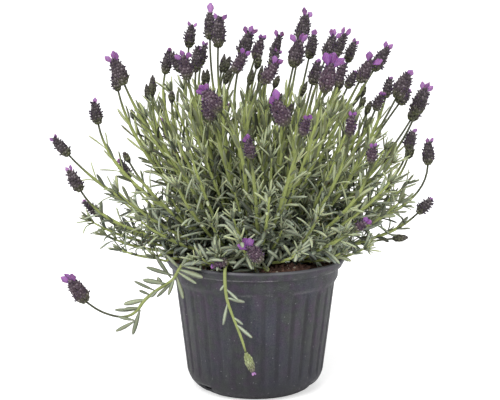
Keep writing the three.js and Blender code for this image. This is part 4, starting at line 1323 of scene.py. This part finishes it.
def makePot():
    outline, wallStart, wallEnd = potProfile()
    segments = potLook["segments"]
    batch = Batch()
    points = []
    tints = []
    for index, (radius, height) in enumerate(outline[1:-1], 1):
        fluted = wallStart <= index < wallEnd
        outside = index < wallEnd + 18
        seam = math.exp(-((height - 123.2) / 1.1) ** 2) if outside and radius > 88.0 else 0.0
        # Painted highlights: on the lower edge of the rolled lip and over the top of the lip
        edge = 0.8 if outside and abs(height - 139.9) < 0.9 and radius > 95.5 else 0.0
        top = 1.0 if height > 147.9 and radius > 95.5 else 0.0
        for turn in ringTurns(segments):
            dent = fluteDent(turn, height) if fluted else 0.0
            wobble = 0.15 * math.sin(2.0 * turn + 0.7) + 0.1 * math.sin(3.0 * turn + height * 0.02)
            reach = radius + (wobble if radius > 60.0 else 0.0) - dent * potLook["fluteDepth"]
            points.append((reach * math.cos(turn), reach * math.sin(turn), height))
            # Painted shade in the flute grooves, stronger on the right, where the light grazes the wall
            clear = 0.4 + 0.6 * clamp(0.4 + 1.4 * math.cos(turn))
            rubbed = 0.3 + 0.7 * math.exp(-((math.degrees(turn) - potLook["rubbedTurn"]) / 24.0) ** 2)
            tints.append((max(seam * rubbed, edge), top, dent * clear, height / potSizes["height"]))
    rings = len(outline) - 2
    faces = gridFaces(rings, segments)
    last = rings * segments
    points += [(0.0, 0.0, outline[0][1]), (0.0, 0.0, outline[-1][1])]
    tints += [(0.0, 0.0, 0.0, 0.0)] * 2
    fan = [(last, (step + 1) % segments, step) for step in range(segments)]
    inner = (rings - 1) * segments
    fan += [(last + 1, inner + step, inner + (step + 1) % segments) for step in range(segments)]
    batch.add(points, [faces, fan], 0, np.array(tints))
    return makePiece("potShell", batch, [makePotMaterial()], "pot")


def cutNotches(pot):
    # Curved blocks that open the foot of the wall where water drains
    look = potLook
    steps = 9
    points = []
    faces = []
    for middle in look["notchTurns"]:
        start = len(points)
        for step in range(steps):
            turn = math.radians(middle + look["notchSpan"] * (step / (steps - 1) - 0.5))
            inner, outer, low, high = look["notchInner"], look["notchOuter"], -1.0, look["notchHeight"]
            for reach, height in ((inner, low), (outer, low), (outer, high), (inner, high)):
                points.append((reach * math.cos(turn) * mm, reach * math.sin(turn) * mm, height * mm))
        for group in closedFaces(steps, 4):
            faces += (group + start).tolist()
    mesh = bpy.data.meshes.new("notchBlocks")
    mesh.from_pydata(points, [], faces)
    shapes = bmesh.new()
    shapes.from_mesh(mesh)
    bmesh.ops.recalc_face_normals(shapes, faces=shapes.faces)
    shapes.to_mesh(mesh)
    shapes.free()
    blocks = standIn("notchBlocks", mesh)
    cut = pot.modifiers.new("notches", "BOOLEAN")
    cut.operation = "DIFFERENCE"
    cut.solver = "EXACT"
    cut.object = blocks
    bpy.context.view_layer.objects.active = pot
    bpy.ops.object.modifier_apply(modifier=cut.name)
    bpy.data.objects.remove(blocks)


pot = makePot()
cutNotches(pot)
print("pot made, faces", len(pot.data.polygons))

# Soil: a crumbly top inside the lip, over a plain block that fills the pot
soilLook = {
    "radius": 90.3,
    "level": 139.8,
    "rings": 44,
    "segments": 144,
    "mound": (35.0, -52.0, 8.5, 30.0, 22.0),
    "crumbs": {"count": 1500, "smallest": 0.7, "largest": 2.6, "palest": 0.0},
    "perlite": {"count": 220, "smallest": 0.7, "largest": 2.1, "palest": 0.9},
    "fibres": 110,
    "dark": rgb(96, 66, 56),
    "brown": rgb(158, 122, 108),
    "rust": rgb(180, 142, 120),
    "pale": rgb(232, 222, 202),
    # deep: painted shade on the soil's side inside the pot
    "deep": rgb(34, 26, 25),
}


def soilHeight(x, y):
    rough = noise.fractal(Vector((x * 0.11, y * 0.11, 3.0)), 0.9, 2.1, 4)
    swell = noise.noise(Vector((x * 0.03, y * 0.03, 9.0)))
    middleX, middleY, height, wide, deep = soilLook["mound"]
    mound = height * math.exp(-((x - middleX) / wide) ** 2 - ((y - middleY) / deep) ** 2)
    mound *= clamp((soilLook["radius"] - math.hypot(x, y)) / 14.0)
    return soilLook["level"] + 1.5 * rough + 1.2 * swell + mound


def makeSoilMaterial():
    look = soilLook
    finish = Finish("pottingMix", look["dark"], (240.0, 1400.0))
    pale, shade, deep, _ = finish.tints()
    finish.coat(look["brown"], finish.blotch)
    finish.coat(look["rust"], shade, 0.5, 1.0, 0.0, 0.6)
    finish.coat(look["rust"], finish.speckle, 0.7, 1.0, 0.0, 0.5)
    finish.coat(look["pale"], pale)
    # Painted shade on the soil's side, inside the pot and seen through the notches
    finish.coat(look["deep"], deep)
    return finish.done((0.75, 0.95), finish.speckle, 0.7, 0.0008)


def makeSoil():
    batch = Batch()
    look = soilLook
    rings, segments = look["rings"], look["segments"]
    points = []
    for ring in range(rings):
        reach = look["radius"] * (1.0 - ring / rings) ** 0.85
        for turn in ringTurns(segments):
            x, y = reach * math.cos(turn), reach * math.sin(turn)
            points.append((x, y, soilHeight(x, y) - (1.2 if ring == 0 else 0.0)))
    top = rings * segments
    points.append((0.0, 0.0, soilHeight(0.0, 0.0)))
    foot = len(points)
    for radius, height in ((86.0, 121.0), (73.5, 18.0), (55.4, 12.0), (55.4, 2.8)):
        points += [(radius * math.cos(turn), radius * math.sin(turn), height) for turn in ringTurns(segments)]
    faces = gridFaces(rings, segments)
    side = gridFaces(4, segments)[:, ::-1] + foot
    follow = [(step + 1) % segments for step in range(segments)]
    edge = [(step, foot + step, foot + after, after) for step, after in enumerate(follow)]
    inner = (rings - 1) * segments
    fan = [(top, inner + step, inner + (step + 1) % segments) for step in range(segments)]
    under = [tuple(foot + 3 * segments + step for step in range(segments))[::-1]]
    tints = np.tile((0.0, 0.3, 0.0, 0.0), (len(points), 1))
    # Painted shade: the side of the soil below its top is darkened
    tints[foot + segments:, 2] = 1.0
    batch.add(points, [faces, side, edge, fan, under], 0, tints)
    return batch


def pebbleForm():
    golden = (1.0 + math.sqrt(5.0)) / 2.0
    points = []
    for first in (-1.0, 1.0):
        for second in (-golden, golden):
            points += [(0.0, first, second), (first, second, 0.0), (second, 0.0, first)]
    points = unit(np.array(points))
    faces = []
    edge = min(np.linalg.norm(points[0] - other) for other in points[1:]) * 1.01
    for a in range(12):
        for b in range(a + 1, 12):
            for c in range(b + 1, 12):
                trio = points[[a, b, c]]
                if max(np.linalg.norm(trio[i] - trio[(i + 1) % 3]) for i in range(3)) < edge:
                    outward = np.cross(trio[1] - trio[0], trio[2] - trio[0]).dot(trio.sum(axis=0)) > 0.0
                    faces.append((a, b, c) if outward else (a, c, b))
    return points, [np.array(faces)], np.full(12, 0.5)


pebble = pebbleForm()


def addCrumbs(batch, seed, count, smallest, largest, palest):
    draw = np.random.default_rng(seed)
    grains = Stamps()
    for _ in range(count):
        turn = draw.uniform(0.0, fullTurn)
        reach = 84.0 * math.sqrt(draw.uniform(0.02, 1.0))
        x, y = reach * math.cos(turn), reach * math.sin(turn)
        size = smallest + (largest - smallest) * draw.uniform() ** 2.5
        place = (x, y, soilHeight(x, y) + size * 0.35)
        ahead, away = unit(draw.normal(size=3)), draw.normal(size=3)
        grains.note(place, ahead, away, size * draw.uniform(0.6, 1.2, 3),
                    (palest * draw.uniform(0.6, 1.0), draw.uniform(), 0.0, 0.0))
    grains.put(batch, pebble, 0)


def addFibres(batch, seed, count):
    draw = np.random.default_rng(seed)
    for _ in range(count):
        turn = draw.uniform(0.0, fullTurn)
        reach = 80.0 * math.sqrt(draw.uniform(0.02, 1.0))
        heading = draw.uniform(0.0, fullTurn)
        swerve = draw.normal(0.0, 0.25)
        x, y = reach * math.cos(turn), reach * math.sin(turn)
        path = []
        for _ in range(5):
            path.append((x, y, soilHeight(x, y) + 0.7))
            x += 1.7 * math.cos(heading)
            y += 1.7 * math.sin(heading)
            heading += swerve
        if math.hypot(x, y) > 83.0:
            continue
        addTube(batch, path, [0.22] * 5, 4, 0, [(draw.uniform(0.1, 0.55), draw.uniform(), 0.0, 0.0)] * 5)


soilMaterial = makeSoilMaterial()
makePiece("soilBed", makeSoil(), [soilMaterial], "soil")
crumbs = Batch()
for kind in ("crumbs", "perlite"):
    addCrumbs(crumbs, seeds[kind], **soilLook[kind])
addFibres(crumbs, seeds["fibres"], soilLook["fibres"])
makePiece("soilCrumbs", crumbs, [soilMaterial], smooth=False)
print("soil made, faces", len(crumbs.faces))


# Floor and light
studio = {
    "floor": (0.72, 0.72, 0.72),
    "glow": 0.55,
    "backdrop": 1.03,
    "sky": 0.55,
    "sun": 2.7,
    "sunSoftness": 45.0,
    "sunAim": (0.42, 0.8, -1.0),
    "fill": 7.0,
    "back": 6.0,
    "panel": 1.2,
    "floorHalf": 30.0,
}


def addLight(name, kind, power, place, aim):
    light = bpy.data.lights.new(name, kind)
    light.energy = power
    lamp = standIn(name, light)
    lamp.location = place
    lamp.rotation_euler = Vector(aim).to_track_quat("-Z", "Y").to_euler()
    return light


def makeFloor():
    # Pale and plain, and a little brighter to the camera than to the plant
    material = bpy.data.materials.new("paleFloor")
    material.use_nodes = True
    graph = Graph(material.node_tree)
    sockets = graph.tree.nodes["Principled BSDF"].inputs
    sockets["Base Color"].default_value = (*studio["floor"], 1.0)
    sockets["Roughness"].default_value = 0.9
    sockets["Emission Color"].default_value = (1.0, 1.0, 1.0, 1.0)
    seen = graph.put("ShaderNodeLightPath").outputs["Is Camera Ray"]
    graph.feed(sockets["Emission Strength"], graph.reckon("MULTIPLY", seen, studio["glow"]))
    half = studio["floorHalf"]
    mesh = bpy.data.meshes.new("floor")
    corners = [(-half, -half, 0.0), (half, -half, 0.0), (half, half, 0.0), (-half, half, 0.0)]
    mesh.from_pydata(corners, [], [(0, 1, 2, 3)])
    mesh.materials.append(material)
    standIn("floor", mesh)


def makeStudio():
    makeFloor()
    # The backdrop looks white, and lights the plant a little less than it shows
    world = bpy.data.worlds.new("studio")
    bpy.context.scene.world = world
    world.use_nodes = True
    graph = Graph(world.node_tree)
    sky = graph.tree.nodes["Background"].inputs
    sky["Color"].default_value = (1.0, 1.0, 1.0, 1.0)
    seen = graph.put("ShaderNodeLightPath").outputs["Is Camera Ray"]
    graph.feed(sky["Strength"], graph.stretch(seen, 0.0, 1.0, studio["sky"], studio["backdrop"]))
    sun = addLight("sun", "SUN", studio["sun"], (0.0, 0.0, 3.0), studio["sunAim"])
    sun.angle = math.radians(studio["sunSoftness"])
    fill = addLight("fill", "AREA", studio["fill"], (1.3, -1.0, 0.9), (-1.3, 1.0, -0.7))
    back = addLight("back", "AREA", studio["back"], (0.3, 1.4, 1.5), (-0.3, -1.4, -1.3))
    fill.size = back.size = studio["panel"]
    bpy.context.scene.view_settings.view_transform = "Standard"


makeStudio()
print("studio made")
